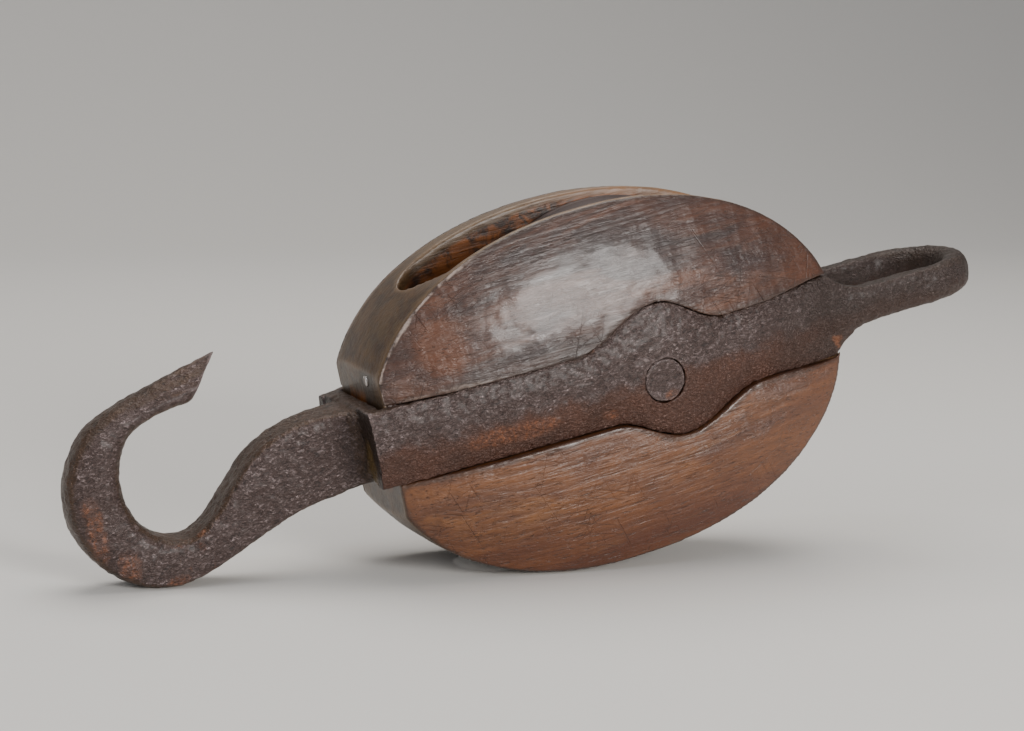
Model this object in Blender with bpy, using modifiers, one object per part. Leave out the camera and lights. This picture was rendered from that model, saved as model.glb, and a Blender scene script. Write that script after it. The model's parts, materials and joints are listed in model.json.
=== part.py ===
"""Iron-strapped wooden pulley block with a forged hook and a becket eye.

Units are metres, +Z is up. The block lies as it rests on a flat surface, on
the bottom of its hook and on the belly of its shell.

Everything is modelled along the block's own axis: x runs from the hook to the
becket eye, y is the direction of the pin, z points to the upper edge of the
shell, and y = 0 is the middle plane of the sheave. One empty then tilts the
whole block until hook and shell touch the ground together.
"""
import math

import bmesh
import bpy
from mathutils import Vector

NAME = "pulley_block"
GAP = 0.0003                     # clearance between pieces that touch

# Pin and sheave
PIN_RADIUS = 0.0127
PIN_HALF_LENGTH = 0.0574
PIN_CHAMFER = 0.0012
PIN_Z = -0.0036                  # the pin lies a little below the block's axis
BUSH_RADIUS = 0.0190
SHEAVE_RADIUS = 0.1016
SHEAVE_HALF_WIDTH = 0.0170
HUB_HALF_WIDTH = 0.0192          # the bush stands a little proud of the sheave
ROPE_RADIUS = 0.0150             # shallow groove for a rope of up to 28 mm
ROPE_OUT = 0.0090                # the groove's centre lies this far outside the rim
GROOVE_HALF_ANGLE = 50
RIM_CORNER = 0.0012

# Wooden shell: a core between two cheeks, all on one oval outline
SHELL_CENTRE_X = -0.0222
SHELL_CENTRE_Z = -0.0027
SHELL_HALF_LENGTH = 0.1510
SHELL_HALF_HEIGHT = 0.1058
SHELL_POWER = 2.13               # 2 would be a plain ellipse
SHELL_SEGMENTS = 72
CROWN_FACE_X = -0.1640           # the oval is cut flat where the crown sits
CORE_HALF_WIDTH = 0.0373
CORE_EDGE_RISE = 0.0015          # the core's edge is slightly crowned
CHEEK_RISE = 0.0186
CHEEK_POWER = 3.0
CHEEK_ARRIS = 0.0012             # upright band round the cheek's edge
CHEEK_RING_SCALES = [0.96, 0.90, 0.82, 0.71, 0.56, 0.36, 0.14]
CORE_RING_SHARES = [-1.0, -0.72, -0.36, 0.0, 0.36, 0.72, 1.0]
SLOT_HALF_WIDTH = 0.0205
SLOT_HEAD_X = -0.1280            # swallow end, towards the hook
SLOT_TAIL_X = 0.1105
SLOT_HEAD_ROUND = 0.0200         # how far each end of the slot is rounded
SLOT_TAIL_ROUND = 0.0080

# Strap: a bar round the tail of the shell, swelling to a boss at the pin
LEG_HALF_HEIGHT = 0.0225
LEG_THICKNESS = 0.0092
LEG_OUTER_AT_PIN = 0.0574
LEG_OUTER_AT_CROWN = 0.0456
LEG_BOW_FRONT = 1.6              # how late the leg bows in, towards the crown
LEG_BOW_BACK = 1.8               # and towards the tail
LEG_SWELL = 0.0015               # extra thickness at the boss
LEG_STATIONS = [
    -0.140, -0.110, -0.080, -0.060, -0.048, -0.036, -0.026, -0.016, -0.007, 0.003, 0.012,
    0.022, 0.032, 0.043, 0.055, 0.067, 0.082, 0.098, 0.112, 0.124, 0.1285, 0.1335, 0.1395,
    0.1475, 0.1560, 0.1700, 0.1850,
]
BECKET_HALF_WIDTH = 0.0422
CROWN_OUTER_X = -0.1752
TAIL_X = 0.1240                  # the legs are tallest here, then neck down
TAIL_RISE = 0.0030
TAIL_RAMP = (0.070, 0.120)       # where the edges rise to the tail
THICKENING = (0.095, 0.140)      # where the leg thickens into the becket
BAR_CORNER = 0.0050              # bevel round the bar's outer face
BAR_CORNER_SHARE = 0.19          # and its limit on a low bar
BAR_SHOULDERS = (0.55, 0.16)     # depths where the bevel starts and breaks
BAR_CREST = 2.4                  # corners from the edge to the flat face
BECKET_HALF_HEIGHT = 0.0112
BECKET_THICKNESS = 0.0140
BECKET_END_THICKNESS = 0.0165
BECKET_END_X = 0.2418
NECK_LENGTH = 0.0290
BECKET_STEPS = 12
CROWN_CORNER = 0.0022
BOSS_TOP = {"x": 0.0030, "rise": 0.0190, "before": 0.056, "after": 0.043}
BOSS_BOTTOM = {"x": 0.0100, "rise": 0.0170, "before": 0.045, "after": 0.055}

# Hook: (inner point, outer point, half thickness) across the bar, tip to root
HOOK_RIBS = [
    ((-0.2572, 0.0500), (-0.2418, 0.0718), 0.0078),
    ((-0.2669, 0.0483), (-0.2569, 0.0686), 0.0110),
    ((-0.2825, 0.0465), (-0.2805, 0.0630), 0.0125),
    ((-0.2976, 0.0412), (-0.3050, 0.0560), 0.0135),
    ((-0.3054, 0.0315), (-0.3250, 0.0458), 0.0145),
    ((-0.3102, 0.0176), (-0.3399, 0.0235), 0.0150),
    ((-0.3100, 0.0031), (-0.3427, -0.0032), 0.0150),
    ((-0.3050, -0.0110), (-0.3319, -0.0278), 0.0150),
    ((-0.2946, -0.0211), (-0.3123, -0.0448), 0.0150),
    ((-0.2809, -0.0250), (-0.2874, -0.0503), 0.0150),
    ((-0.2680, -0.0195), (-0.2591, -0.0426), 0.0150),
    ((-0.2539, -0.0061), (-0.2323, -0.0334), 0.0150),
    ((-0.2389, 0.0079), (-0.2144, -0.0284), 0.0150),
    ((-0.2206, 0.0174), (-0.2018, -0.0266), 0.0152),
    ((-0.2005, 0.0214), (-0.1926, -0.0258), 0.0156),
    ((-0.1860, 0.0216), (-0.1850, -0.0244), 0.0175),
    ((-0.1790, 0.0214), (-0.1790, -0.0236), 0.0225),
    ((-0.1725, 0.0215), (-0.1725, -0.0225), 0.0290),
]
HOOK_STEPS = 2                   # sections between two ribs
HOOK_SIDES = 16
HOOK_SQUARENESS = 4.5           # 2 is an oval section, more is squarer

# Dowels (x, z) between core and cheeks, and the nail in the crown end
DOWEL_RADIUS = 0.0045
DOWEL_DEPTH = 0.0090
DOWEL_PLACES = [(-0.098, 0.046), (0.052, -0.056)]
NAIL_RADIUS = 0.0014
NAIL_HEAD_RADIUS = 0.0034
NAIL_HEAD_HEIGHT = 0.0015
NAIL_LENGTH = 0.0220
NAIL_TIP_LENGTH = 0.0040
NAIL_TIP_RADIUS = 0.0003
NAIL_PROUD = 0.0006              # how far the head stands out of the wood
NAIL_PLACE = (-0.0150, 0.0345)   # y and z on the flat crown end
NAIL_SIDES = 12
DOWEL_SIDES = 20

ROUND_SEGMENTS = 48
STEEPEST_TILT = 30               # degrees, upper bound of the resting tilt
TILT_HALVINGS = 40
REACH = 0.2                      # cutters run well past the piece they cut
SCORE_REACH = 0.03               # likewise for the strap's scores
SLOT_ROUND_STEPS = 12
GROOVE_STEPS = 8


# ---------------------------------------------------------------- helpers
def clear_scene():
    for item in list(bpy.data.objects):
        bpy.data.objects.remove(item, do_unlink=True)


def new_collection(name):
    group = bpy.data.collections.new(name)
    bpy.context.scene.collection.children.link(group)
    return group


def material(name, colour, roughness, metallic):
    surface = bpy.data.materials.new(name)
    surface.use_nodes = True
    shader = surface.node_tree.nodes["Principled BSDF"]
    shader.inputs["Base Color"].default_value = (*colour, 1.0)
    shader.inputs["Roughness"].default_value = roughness
    shader.inputs["Metallic"].default_value = metallic
    return surface


def finish_mesh(name, shape, group, surface=None, smooth_angle=35.0):
    bmesh.ops.recalc_face_normals(shape, faces=shape.faces)
    mesh = bpy.data.meshes.new(name)
    shape.to_mesh(mesh)
    shape.free()
    mesh.shade_smooth()
    mesh.set_sharp_from_angle(angle=math.radians(smooth_angle))
    item = bpy.data.objects.new(name, mesh)
    group.objects.link(item)
    if surface:
        mesh.materials.append(surface)
    return item


def loft(name, rings, group, surface=None):
    """Skin rings of equally many points, and close the first and the last."""
    shape = bmesh.new()
    loops = [[shape.verts.new(point) for point in ring] for ring in rings]
    for lower, upper in zip(loops, loops[1:]):
        for i in range(len(lower)):
            j = (i + 1) % len(lower)
            shape.faces.new((lower[i], lower[j], upper[j], upper[i]))
    shape.faces.new(loops[0])
    shape.faces.new(loops[-1])
    return finish_mesh(name, shape, group, surface)


def cylinder(name, radius, start, end, group, surface=None, segments=ROUND_SEGMENTS):
    """A round bar between two points."""
    start, end = Vector(start), Vector(end)
    along = end - start
    shape = bmesh.new()
    bmesh.ops.create_cone(shape, cap_ends=True, segments=segments, radius1=radius,
                          radius2=radius, depth=along.length)
    item = finish_mesh(name, shape, group, surface)
    item.location = (start + end) / 2
    item.rotation_euler = along.to_track_quat("Z", "Y").to_euler()
    return item


def turned(name, profile, group, surface):
    """Spin a closed (radius, y) outline about the y axis with a Screw modifier."""
    shape = bmesh.new()
    points = [shape.verts.new((radius, y, 0.0)) for radius, y in reversed(profile)]
    for i, point in enumerate(points):
        shape.edges.new((point, points[(i + 1) % len(points)]))
    mesh = bpy.data.meshes.new(name)
    shape.to_mesh(mesh)
    shape.free()
    mesh.materials.append(surface)
    item = bpy.data.objects.new(name, mesh)
    group.objects.link(item)
    spin = item.modifiers.new("turn", "SCREW")
    spin.axis = "Y"
    spin.steps = spin.render_steps = ROUND_SEGMENTS
    spin.use_merge_vertices = True
    spin.merge_threshold = 0.00001
    spin.use_smooth_shade = True
    return item


def cut(item, cutter):
    step = item.modifiers.new("cut " + cutter.name, "BOOLEAN")
    step.operation = "DIFFERENCE"
    step.object = cutter
    cutter.hide_render = True
    cutter.display_type = "WIRE"


def join(item, other):
    step = item.modifiers.new("join " + other.name, "BOOLEAN")
    step.operation = "UNION"
    step.object = other
    other.hide_render = True
    other.display_type = "WIRE"


def ramp(x, limits):
    """Smooth step from 0 to 1 between two limits."""
    start, end = limits
    t = min(max((x - start) / (end - start), 0.0), 1.0)
    return t * t * (3.0 - 2.0 * t)


def bump(x, lobe):
    """Raised cosine, 1 at the lobe's centre and 0 past its two reaches."""
    away = x - lobe["x"]
    reach = lobe["after"] if away > 0 else lobe["before"]
    if abs(away) >= reach:
        return 0.0
    return 0.5 + 0.5 * math.cos(math.pi * away / reach)


# ---------------------------------------------------------------- shell
def shell_outline(scale=1.0, grow=0.0):
    """Points (x, z) round the shell's oval, flat at the crown end."""
    points = []
    for i in range(SHELL_SEGMENTS):
        angle = 2.0 * math.pi * (i + 0.5) / SHELL_SEGMENTS
        across, up = math.cos(angle), math.sin(angle)
        x = math.copysign(abs(across) ** (2.0 / SHELL_POWER), across)
        z = math.copysign(abs(up) ** (2.0 / SHELL_POWER), up)
        x = x * (SHELL_HALF_LENGTH + grow)
        z = z * (SHELL_HALF_HEIGHT + grow)
        x = max(x, CROWN_FACE_X + GAP - SHELL_CENTRE_X)
        points.append((SHELL_CENTRE_X + scale * x, SHELL_CENTRE_Z + scale * z))
    return points


def build_core(parts, cutters, surface):
    rings = []
    for share in CORE_RING_SHARES:
        rise = CORE_EDGE_RISE * (1.0 - share * share)
        y = share * CORE_HALF_WIDTH
        rings.append([(x, y, z) for x, z in shell_outline(grow=rise)])
    core = loft("shell_core", rings, parts, surface)
    cut(core, slot_cutter(cutters))
    cut(core, pin_cutter("core_pin_bore", cutters))
    return core


def slot_cutter(cutters):
    """The mortise: a long slot with rounded ends, open above and below."""
    ends = [(SLOT_TAIL_X - SLOT_TAIL_ROUND, SLOT_TAIL_ROUND, -0.5),
            (SLOT_HEAD_X + SLOT_HEAD_ROUND, SLOT_HEAD_ROUND, 0.5)]
    outline = []
    for end_x, rounding, first in ends:
        for i in range(SLOT_ROUND_STEPS + 1):
            angle = math.pi * (first + i / SLOT_ROUND_STEPS)
            outline.append((end_x + rounding * math.cos(angle), SLOT_HALF_WIDTH * math.sin(angle)))
    rings = [[(x, y, z) for x, y in outline] for z in (-REACH, REACH)]
    return loft("slot_cutter", rings, cutters)


def pin_cutter(name, cutters):
    return cylinder(name, PIN_RADIUS + GAP, (0, -REACH, PIN_Z), (0, REACH, PIN_Z), cutters)


def build_cheek(name, side, core, parts, cutters, surface):
    """A domed plate with a sharp arris, scored with the core for the strap's leg."""
    back = CORE_HALF_WIDTH + GAP
    rings = [[(x, side * back, z) for x, z in shell_outline()]]
    rings.append([(x, side * (back + CHEEK_ARRIS), z) for x, z in shell_outline()])
    for scale in CHEEK_RING_SCALES:
        rise = CHEEK_ARRIS + CHEEK_RISE * (1.0 - scale ** CHEEK_POWER)
        rings.append([(x, side * (back + rise), z) for x, z in shell_outline(scale=scale)])
    cheek = loft(name, rings, parts, surface)
    score = loft(name + "_score", score_rings(side), cutters)
    cut(cheek, score)
    cut(core, score)
    cut(cheek, pin_cutter(name + "_pin_bore", cutters))
    return cheek


def build_dowels(side, name, core, cheek, parts, cutters, surface):
    middle = CORE_HALF_WIDTH + GAP / 2
    for number, (x, z) in enumerate(DOWEL_PLACES, start=1):
        start = (x, side * (middle - DOWEL_DEPTH), z)
        end = (x, side * (middle + DOWEL_DEPTH), z)
        label = "%s_dowel_%d" % (name, number)
        cylinder(label, DOWEL_RADIUS, start, end, parts, surface, segments=DOWEL_SIDES)
        hole_start = (x, side * (middle - DOWEL_DEPTH - GAP), z)
        hole_end = (x, side * (middle + DOWEL_DEPTH + GAP), z)
        hole = cylinder(label + "_hole", DOWEL_RADIUS + GAP, hole_start, hole_end, cutters, segments=DOWEL_SIDES)
        cut(core, hole)
        cut(cheek, hole)


# ---------------------------------------------------------------- ironwork
def leg_outer(x):
    """Distance of the leg's outer face from the middle plane."""
    if x <= 0:
        drop = LEG_OUTER_AT_PIN - LEG_OUTER_AT_CROWN
        return LEG_OUTER_AT_PIN - drop * (x / CROWN_OUTER_X) ** LEG_BOW_FRONT
    drop = LEG_OUTER_AT_PIN - BECKET_HALF_WIDTH
    return LEG_OUTER_AT_PIN - drop * min(x / TAIL_X, 1.0) ** LEG_BOW_BACK


def leg_thickness(x):
    swell = LEG_SWELL * bump(x, BOSS_TOP)
    return LEG_THICKNESS + swell + (BECKET_THICKNESS - LEG_THICKNESS) * ramp(x, THICKENING)


def leg_edge(x, lobe):
    """Height of the leg's upper or lower edge above the block's axis."""
    height = LEG_HALF_HEIGHT + lobe["rise"] * bump(x, lobe) + TAIL_RISE * ramp(x, TAIL_RAMP)
    if x > TAIL_X:
        left = max(1.0 - (x - TAIL_X) / NECK_LENGTH, 0.0) ** 2
        height = BECKET_HALF_HEIGHT + (height - BECKET_HALF_HEIGHT) * left
    return height


def bar_section(inner, outer, top, bottom):
    """(distance, z) points of a bar's section, its outer face crowned."""
    corner = min(BAR_CORNER, BAR_CORNER_SHARE * (top + bottom))
    crest = BAR_CREST * corner
    start, mid = [outer - share * (outer - inner) for share in BAR_SHOULDERS]
    return [
        (inner, -bottom), (inner, top), (start, top), (mid, top - corner), (outer, top - crest),
        (outer, -bottom + crest), (mid, -bottom + corner), (start, -bottom),
    ]


def leg_rings(side):
    """Sections of one leg from the crown to the becket."""
    rings = []
    for x in [CROWN_FACE_X + GAP] + LEG_STATIONS:
        outer = leg_outer(x)
        inner = outer - leg_thickness(x)
        section = bar_section(inner, outer, leg_edge(x, BOSS_TOP), leg_edge(x, BOSS_BOTTOM))
        rings.append([(x, side * away, z) for away, z in section])
    return rings


def score_rings(side):
    """The same leg with clearance all round, running out through the cheek and the crown end."""
    rings = []
    for x in [CROWN_FACE_X - SCORE_REACH] + [CROWN_FACE_X + GAP] + LEG_STATIONS:
        far = leg_outer(x) + SCORE_REACH
        inner = leg_outer(x) - leg_thickness(x) - GAP
        top = leg_edge(x, BOSS_TOP) + GAP
        bottom = leg_edge(x, BOSS_BOTTOM) + GAP
        section = [(inner, -bottom), (inner, top), (far, top), (far, -bottom)]
        rings.append([(x, side * away, z) for away, z in section])
    return rings


def becket_rings():
    """Sections round the becket's half circle, from the near side to the far side."""
    centre_x = BECKET_END_X - BECKET_HALF_WIDTH
    rings = []
    for i in range(BECKET_STEPS + 1):
        turn = math.pi * i / BECKET_STEPS
        thickness = BECKET_THICKNESS + (BECKET_END_THICKNESS - BECKET_THICKNESS) * math.sin(turn)
        inner = BECKET_HALF_WIDTH - thickness
        section = bar_section(inner, BECKET_HALF_WIDTH, BECKET_HALF_HEIGHT, BECKET_HALF_HEIGHT)
        rings.append([(centre_x + away * math.sin(turn), -away * math.cos(turn), z) for away, z in section])
    return rings


def build_strap(parts, cutters, surface):
    rings = leg_rings(-1) + becket_rings() + leg_rings(1)[::-1]
    strap = loft("strap", rings, parts, surface)
    cut(strap, pin_cutter("strap_pin_bore", cutters))
    return strap


def hook_section(inner, outer, half_thickness):
    """A rounded rectangle across the hook's bar."""
    middle = (Vector(inner) + Vector(outer)) / 2
    half = (Vector(outer) - Vector(inner)) / 2
    points = []
    for i in range(HOOK_SIDES):
        angle = 2.0 * math.pi * (i + 0.5) / HOOK_SIDES
        across, up = math.cos(angle), math.sin(angle)
        across = math.copysign(abs(across) ** (2.0 / HOOK_SQUARENESS), across)
        up = math.copysign(abs(up) ** (2.0 / HOOK_SQUARENESS), up)
        spot = middle + half * across
        points.append((spot.x, half_thickness * up, spot.y))
    return points


def smooth_between(before, start, end, after, t):
    """Catmull-Rom value between start and end."""
    return 0.5 * ((2 * start) + (end - before) * t + (2 * before - 5 * start + 4 * end - after) * t * t
                  + (3 * start - before - 3 * end + after) * t ** 3)


def hook_rings():
    flat = [(*inner, *outer, half) for inner, outer, half in HOOK_RIBS]
    rings = []
    for i in range(len(flat) - 1):
        window = [flat[max(i - 1, 0)], flat[i], flat[i + 1], flat[min(i + 2, len(flat) - 1)]]
        for step in range(HOOK_STEPS):
            values = [smooth_between(*column, step / HOOK_STEPS) for column in zip(*window)]
            rings.append(hook_section(values[0:2], values[2:4], values[4]))
    last = flat[-1]
    rings.append(hook_section(last[0:2], last[2:4], last[4]))
    return rings


def build_hook(parts, cutters, surface):
    """The hook, and the crown bar that closes the strap's two ends."""
    hook = loft("hook", hook_rings(), parts, surface)
    outer = leg_outer(CROWN_OUTER_X)
    half = LEG_HALF_HEIGHT
    corner = CROWN_CORNER
    section = [(-outer, -half), (-outer, half), (outer, half), (outer, -half)]
    back = [(CROWN_FACE_X, y, z) for y, z in section]
    front = [(CROWN_OUTER_X, y * (1 - corner / outer), z * (1 - corner / half)) for y, z in section]
    middle = [(CROWN_OUTER_X + corner, y, z) for y, z in section]
    join(hook, loft("crown_bar", [back, middle, front], cutters))
    return hook


def build_pin(parts, surface):
    shape = bmesh.new()
    bmesh.ops.create_cone(shape, cap_ends=True, segments=ROUND_SEGMENTS, radius1=PIN_RADIUS,
                          radius2=PIN_RADIUS, depth=2 * PIN_HALF_LENGTH)
    pin = finish_mesh("pin", shape, parts, surface)
    pin.location = (0, 0, PIN_Z)
    pin.rotation_euler = (math.radians(90), 0, 0)
    edge = pin.modifiers.new("riveted edge", "BEVEL")
    edge.width = PIN_CHAMFER
    edge.segments = 2
    edge.limit_method = "ANGLE"
    return pin


# ---------------------------------------------------------------- sheave
def sheave_profile():
    """Closed (radius, y) outline of the solid sheave's section, groove first."""
    half_angle = math.radians(GROOVE_HALF_ANGLE)
    centre = SHEAVE_RADIUS + ROPE_OUT
    groove = []
    for i in range(GROOVE_STEPS + 1):
        angle = -half_angle + 2 * half_angle * i / GROOVE_STEPS
        groove.append((centre - ROPE_RADIUS * math.cos(angle), ROPE_RADIUS * math.sin(angle)))
    side = [
        (SHEAVE_RADIUS, SHEAVE_HALF_WIDTH - RIM_CORNER), (SHEAVE_RADIUS - RIM_CORNER, SHEAVE_HALF_WIDTH),
        (BUSH_RADIUS + GAP, SHEAVE_HALF_WIDTH),
    ]
    return groove + side + [(radius, -y) for radius, y in side[::-1]]


def build_sheave(parts, surface):
    sheave = turned("sheave", sheave_profile(), parts, surface)
    sheave.location = (0, 0, PIN_Z)
    return sheave


def build_bush(parts, surface):
    inner = PIN_RADIUS + GAP
    outline = [(inner, -HUB_HALF_WIDTH), (BUSH_RADIUS, -HUB_HALF_WIDTH),
               (BUSH_RADIUS, HUB_HALF_WIDTH), (inner, HUB_HALF_WIDTH)]
    bush = turned("sheave_bush", outline, parts, surface)
    bush.location = (0, 0, PIN_Z)
    return bush


# ---------------------------------------------------------------- nail
def build_nail(core, parts, cutters, surface):
    """A nail driven into the flat crown end of the core."""
    face = CROWN_FACE_X + GAP
    under_head = face - NAIL_PROUD + NAIL_HEAD_HEIGHT
    end = face - NAIL_PROUD + NAIL_LENGTH
    stem = [(NAIL_RADIUS, under_head + GAP), (NAIL_RADIUS, end - NAIL_TIP_LENGTH), (NAIL_TIP_RADIUS, end)]
    head = [(NAIL_HEAD_RADIUS, face - NAIL_PROUD), (NAIL_HEAD_RADIUS, under_head)]
    hole = [(NAIL_HEAD_RADIUS, face - SCORE_REACH), (NAIL_HEAD_RADIUS, under_head + GAP)]
    nail = loft("crown_nail", [nail_ring(radius, x) for radius, x in head + stem], parts, surface)
    rings = [nail_ring(radius + GAP, x + GAP) for radius, x in hole + stem]
    cut(core, loft("crown_nail_hole", rings, cutters))
    return nail


def nail_ring(radius, x):
    y, z = NAIL_PLACE
    turns = [2 * math.pi * i / NAIL_SIDES for i in range(NAIL_SIDES)]
    return [(x, y + radius * math.cos(turn), z + radius * math.sin(turn)) for turn in turns]


# ---------------------------------------------------------------- resting
def lowest(points, tilt):
    """Lowest height of (x, z) points once the block's axis is raised by tilt."""
    return min(x * math.sin(tilt) + z * math.cos(tilt) for x, z in points)


def rest_tilt():
    """Tilt at which the hook and the shell touch the ground together."""
    shell = shell_outline(grow=CORE_EDGE_RISE)
    hook = [(x, z) for ring in hook_rings() for x, y, z in ring]
    low, high = 0.0, math.radians(STEEPEST_TILT)
    for _ in range(TILT_HALVINGS):
        middle = (low + high) / 2
        if lowest(hook, middle) > lowest(shell, middle):
            low = middle
        else:
            high = middle
    return (low + high) / 2


def world_box(items):
    graph = bpy.context.evaluated_depsgraph_get()
    corners = []
    for item in items:
        seen = item.evaluated_get(graph)
        mesh = seen.to_mesh()
        corners += [seen.matrix_world @ vertex.co for vertex in mesh.vertices]
        seen.to_mesh_clear()
    low = Vector([min(corner[i] for corner in corners) for i in range(3)])
    high = Vector([max(corner[i] for corner in corners) for i in range(3)])
    return low, high


def main():
    clear_scene()
    parts = new_collection(NAME)
    cutters = new_collection(NAME + "_cutters")
    iron = material("forged_iron", (0.060, 0.046, 0.042), 0.50, 0.85)
    dark_wood = material("lignum_vitae", (0.060, 0.040, 0.034), 0.55, 0.00)
    brass = material("gunmetal", (0.50, 0.36, 0.16), 0.40, 1.00)
    wood = material("oiled_elm", (0.23, 0.105, 0.045), 0.45, 0.00)
    pale_wood = material("dowel_wood", (0.45, 0.30, 0.16), 0.65, 0.00)
    nail_steel = material("nail_iron", (0.30, 0.28, 0.27), 0.45, 0.90)

    core = build_core(parts, cutters, wood)
    near_cheek = build_cheek("near_cheek", -1, core, parts, cutters, wood)
    far_cheek = build_cheek("far_cheek", 1, core, parts, cutters, wood)
    build_dowels(-1, "near", core, near_cheek, parts, cutters, pale_wood)
    build_dowels(1, "far", core, far_cheek, parts, cutters, pale_wood)
    build_nail(core, parts, cutters, nail_steel)
    build_strap(parts, cutters, iron)
    build_hook(parts, cutters, iron)
    build_pin(parts, iron)
    build_sheave(parts, dark_wood)
    build_bush(parts, brass)

    frame = bpy.data.objects.new("block_frame", None)
    parts.objects.link(frame)
    pieces = [item for item in parts.objects if item is not frame]
    for item in pieces + list(cutters.objects):
        item.parent = frame
    frame.rotation_euler = (0, -rest_tilt(), 0)
    bpy.context.view_layer.update()
    low, high = world_box(pieces)
    frame.location = (-(low.x + high.x) / 2, 0, -low.z)
    bpy.context.view_layer.update()


main()
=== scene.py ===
"""Looks of a worn wooden pulley block with a forged hook and a becket eye.

The pieces are modelled along the block's own axes (x from the hook to the
becket, y along the pin, z towards the slot's mouth) and then laid down as the
block rests. Each operator makes one piece or one group of like pieces.
"""
import json
import math

import bmesh
import bpy
import numpy as np
from mathutils import Matrix, Vector


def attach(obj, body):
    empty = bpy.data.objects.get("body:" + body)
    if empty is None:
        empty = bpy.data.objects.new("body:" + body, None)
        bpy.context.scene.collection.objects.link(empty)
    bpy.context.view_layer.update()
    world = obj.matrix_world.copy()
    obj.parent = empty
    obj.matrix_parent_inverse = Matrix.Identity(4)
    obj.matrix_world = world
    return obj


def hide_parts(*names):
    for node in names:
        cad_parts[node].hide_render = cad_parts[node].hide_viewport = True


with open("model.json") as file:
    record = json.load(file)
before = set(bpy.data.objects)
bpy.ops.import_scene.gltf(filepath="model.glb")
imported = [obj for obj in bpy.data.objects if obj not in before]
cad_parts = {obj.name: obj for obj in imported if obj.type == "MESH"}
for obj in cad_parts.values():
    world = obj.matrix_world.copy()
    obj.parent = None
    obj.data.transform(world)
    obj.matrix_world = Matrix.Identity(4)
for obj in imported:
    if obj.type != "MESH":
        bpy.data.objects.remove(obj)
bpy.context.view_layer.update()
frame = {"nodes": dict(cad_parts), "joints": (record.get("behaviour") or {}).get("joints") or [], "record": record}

bl_info = {
    "name": "Pulley block",
    "version": (1, 0, 0),
    "blender": (4, 5, 0),
    "location": "3D View > Sidebar > Block",
    "description": "Builds a worn wooden pulley block with its forged strap, hook and becket eye",
    "category": "Add Mesh",
}

GAP = 0.0003                     # clearance between touching pieces
PIN_Z = -0.0036                  # the pin lies a little below the block's axis
PIN_HOLE = 0.0130                # radius of the pin's hole in the wood and the bush
PIN_END_Y = 0.0572
BOSS_FACE_Y = 0.0574
SHELL_X, SHELL_Z = -0.0222, -0.0027
SHELL_POWER = 2.13               # squareness of the shell's oval
SLOT_HEAD_X, SLOT_HEAD_ROUND = -0.1280, 0.0200
SLOT_TAIL_X, SLOT_TAIL_ROUND = 0.1105, 0.0080
LIP_WEAR = (0.0050, 0.0024)      # of the near lip, at the crown end and past the middle
LIP_WEAR_REACH = 0.016           # how deep in the slot the wear ends
NAIL_Y, NAIL_Z = -0.015, 0.0345
CROWN_FACE_X = -0.1640
CROWN_OUTER_X = -0.1752
TAIL_X = 0.1240                  # the legs are tallest here, then neck down
LEG_END_X = 0.1860               # the legs end here and the becket's loop begins
BECKET_END_X = 0.2418
BECKET_BAR = 0.0140              # the loop's thickness at its two ends
BECKET_HALF_HEIGHT = 0.0112
SCORE_PLAY = 0.0006              # clearance above and below a leg in its score
SECTION_POINTS = 40
TIP_SLANT = 0.006                # the tip's end face is cut back this far on the near side
TIP_LOW_Z = 0.030                # only faces wholly above this are cut
PIT_RELIEF = 0.0042              # size of the pits in the shape
PIT_COLOUR = 0.0021              # size of the pits in the colour
HAMMER_RELIEF = 0.022
CAMERA_TURN = (-22.891, 8.403, 1.819)   # azimuth, elevation and roll in degrees
CAMERA_AIM = (-0.0716, 0, -0.0015)      # from the block's own centre
CAMERA_DISTANCE = 1.2731
CAMERA_LENS = 75.94

# Hook: inner point, outer point, half thickness, squareness, share of the
# thickness left on the outer side; from the tip to the root
HOOK_RIBS = [
    ((-0.2572, 0.0500), (-0.2418, 0.0718), 0.0095, 4.0, 0.14),
    ((-0.2669, 0.0483), (-0.2569, 0.0686), 0.0116, 3.8, 0.22),
    ((-0.2825, 0.0465), (-0.2805, 0.0630), 0.0128, 3.4, 0.52),
    ((-0.2976, 0.0412), (-0.3050, 0.0560), 0.0135, 2.9, 0.84),
    ((-0.3054, 0.0315), (-0.3250, 0.0458), 0.0145, 2.8, 1.00),
    ((-0.3102, 0.0176), (-0.3399, 0.0235), 0.0150, 3.0, 1.00),
    ((-0.3100, 0.0031), (-0.3427, -0.0032), 0.0150, 3.2, 1.00),
    ((-0.3050, -0.0110), (-0.3319, -0.0278), 0.0150, 3.6, 1.00),
    ((-0.2946, -0.0211), (-0.3123, -0.0448), 0.0150, 4.2, 1.00),
    ((-0.2809, -0.0250), (-0.2874, -0.0503), 0.0150, 5.0, 1.00),
    ((-0.2680, -0.0195), (-0.2591, -0.0426), 0.0150, 6.0, 1.00),
    ((-0.2539, -0.0061), (-0.2323, -0.0334), 0.0150, 7.0, 1.00),
    ((-0.2389, 0.0079), (-0.2144, -0.0284), 0.0150, 8.0, 1.00),
    ((-0.2206, 0.0174), (-0.2018, -0.0266), 0.0152, 8.0, 1.00),
    ((-0.2005, 0.0214), (-0.1926, -0.0258), 0.0156, 8.0, 1.00),
    ((-0.1860, 0.0216), (-0.1850, -0.0244), 0.0172, 8.0, 1.00),
    ((-0.1790, 0.0214), (-0.1790, -0.0236), 0.0210, 7.0, 1.00),
    ((-0.1725, 0.0205), (-0.1725, -0.0220), 0.0290, 6.0, 1.00),
]
BOSS_TOP = {"x": 0.0030, "rise": 0.0190, "before": 0.056, "after": 0.043}
BOSS_BOTTOM = {"x": 0.0100, "rise": 0.0170, "before": 0.045, "after": 0.055}

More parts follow.
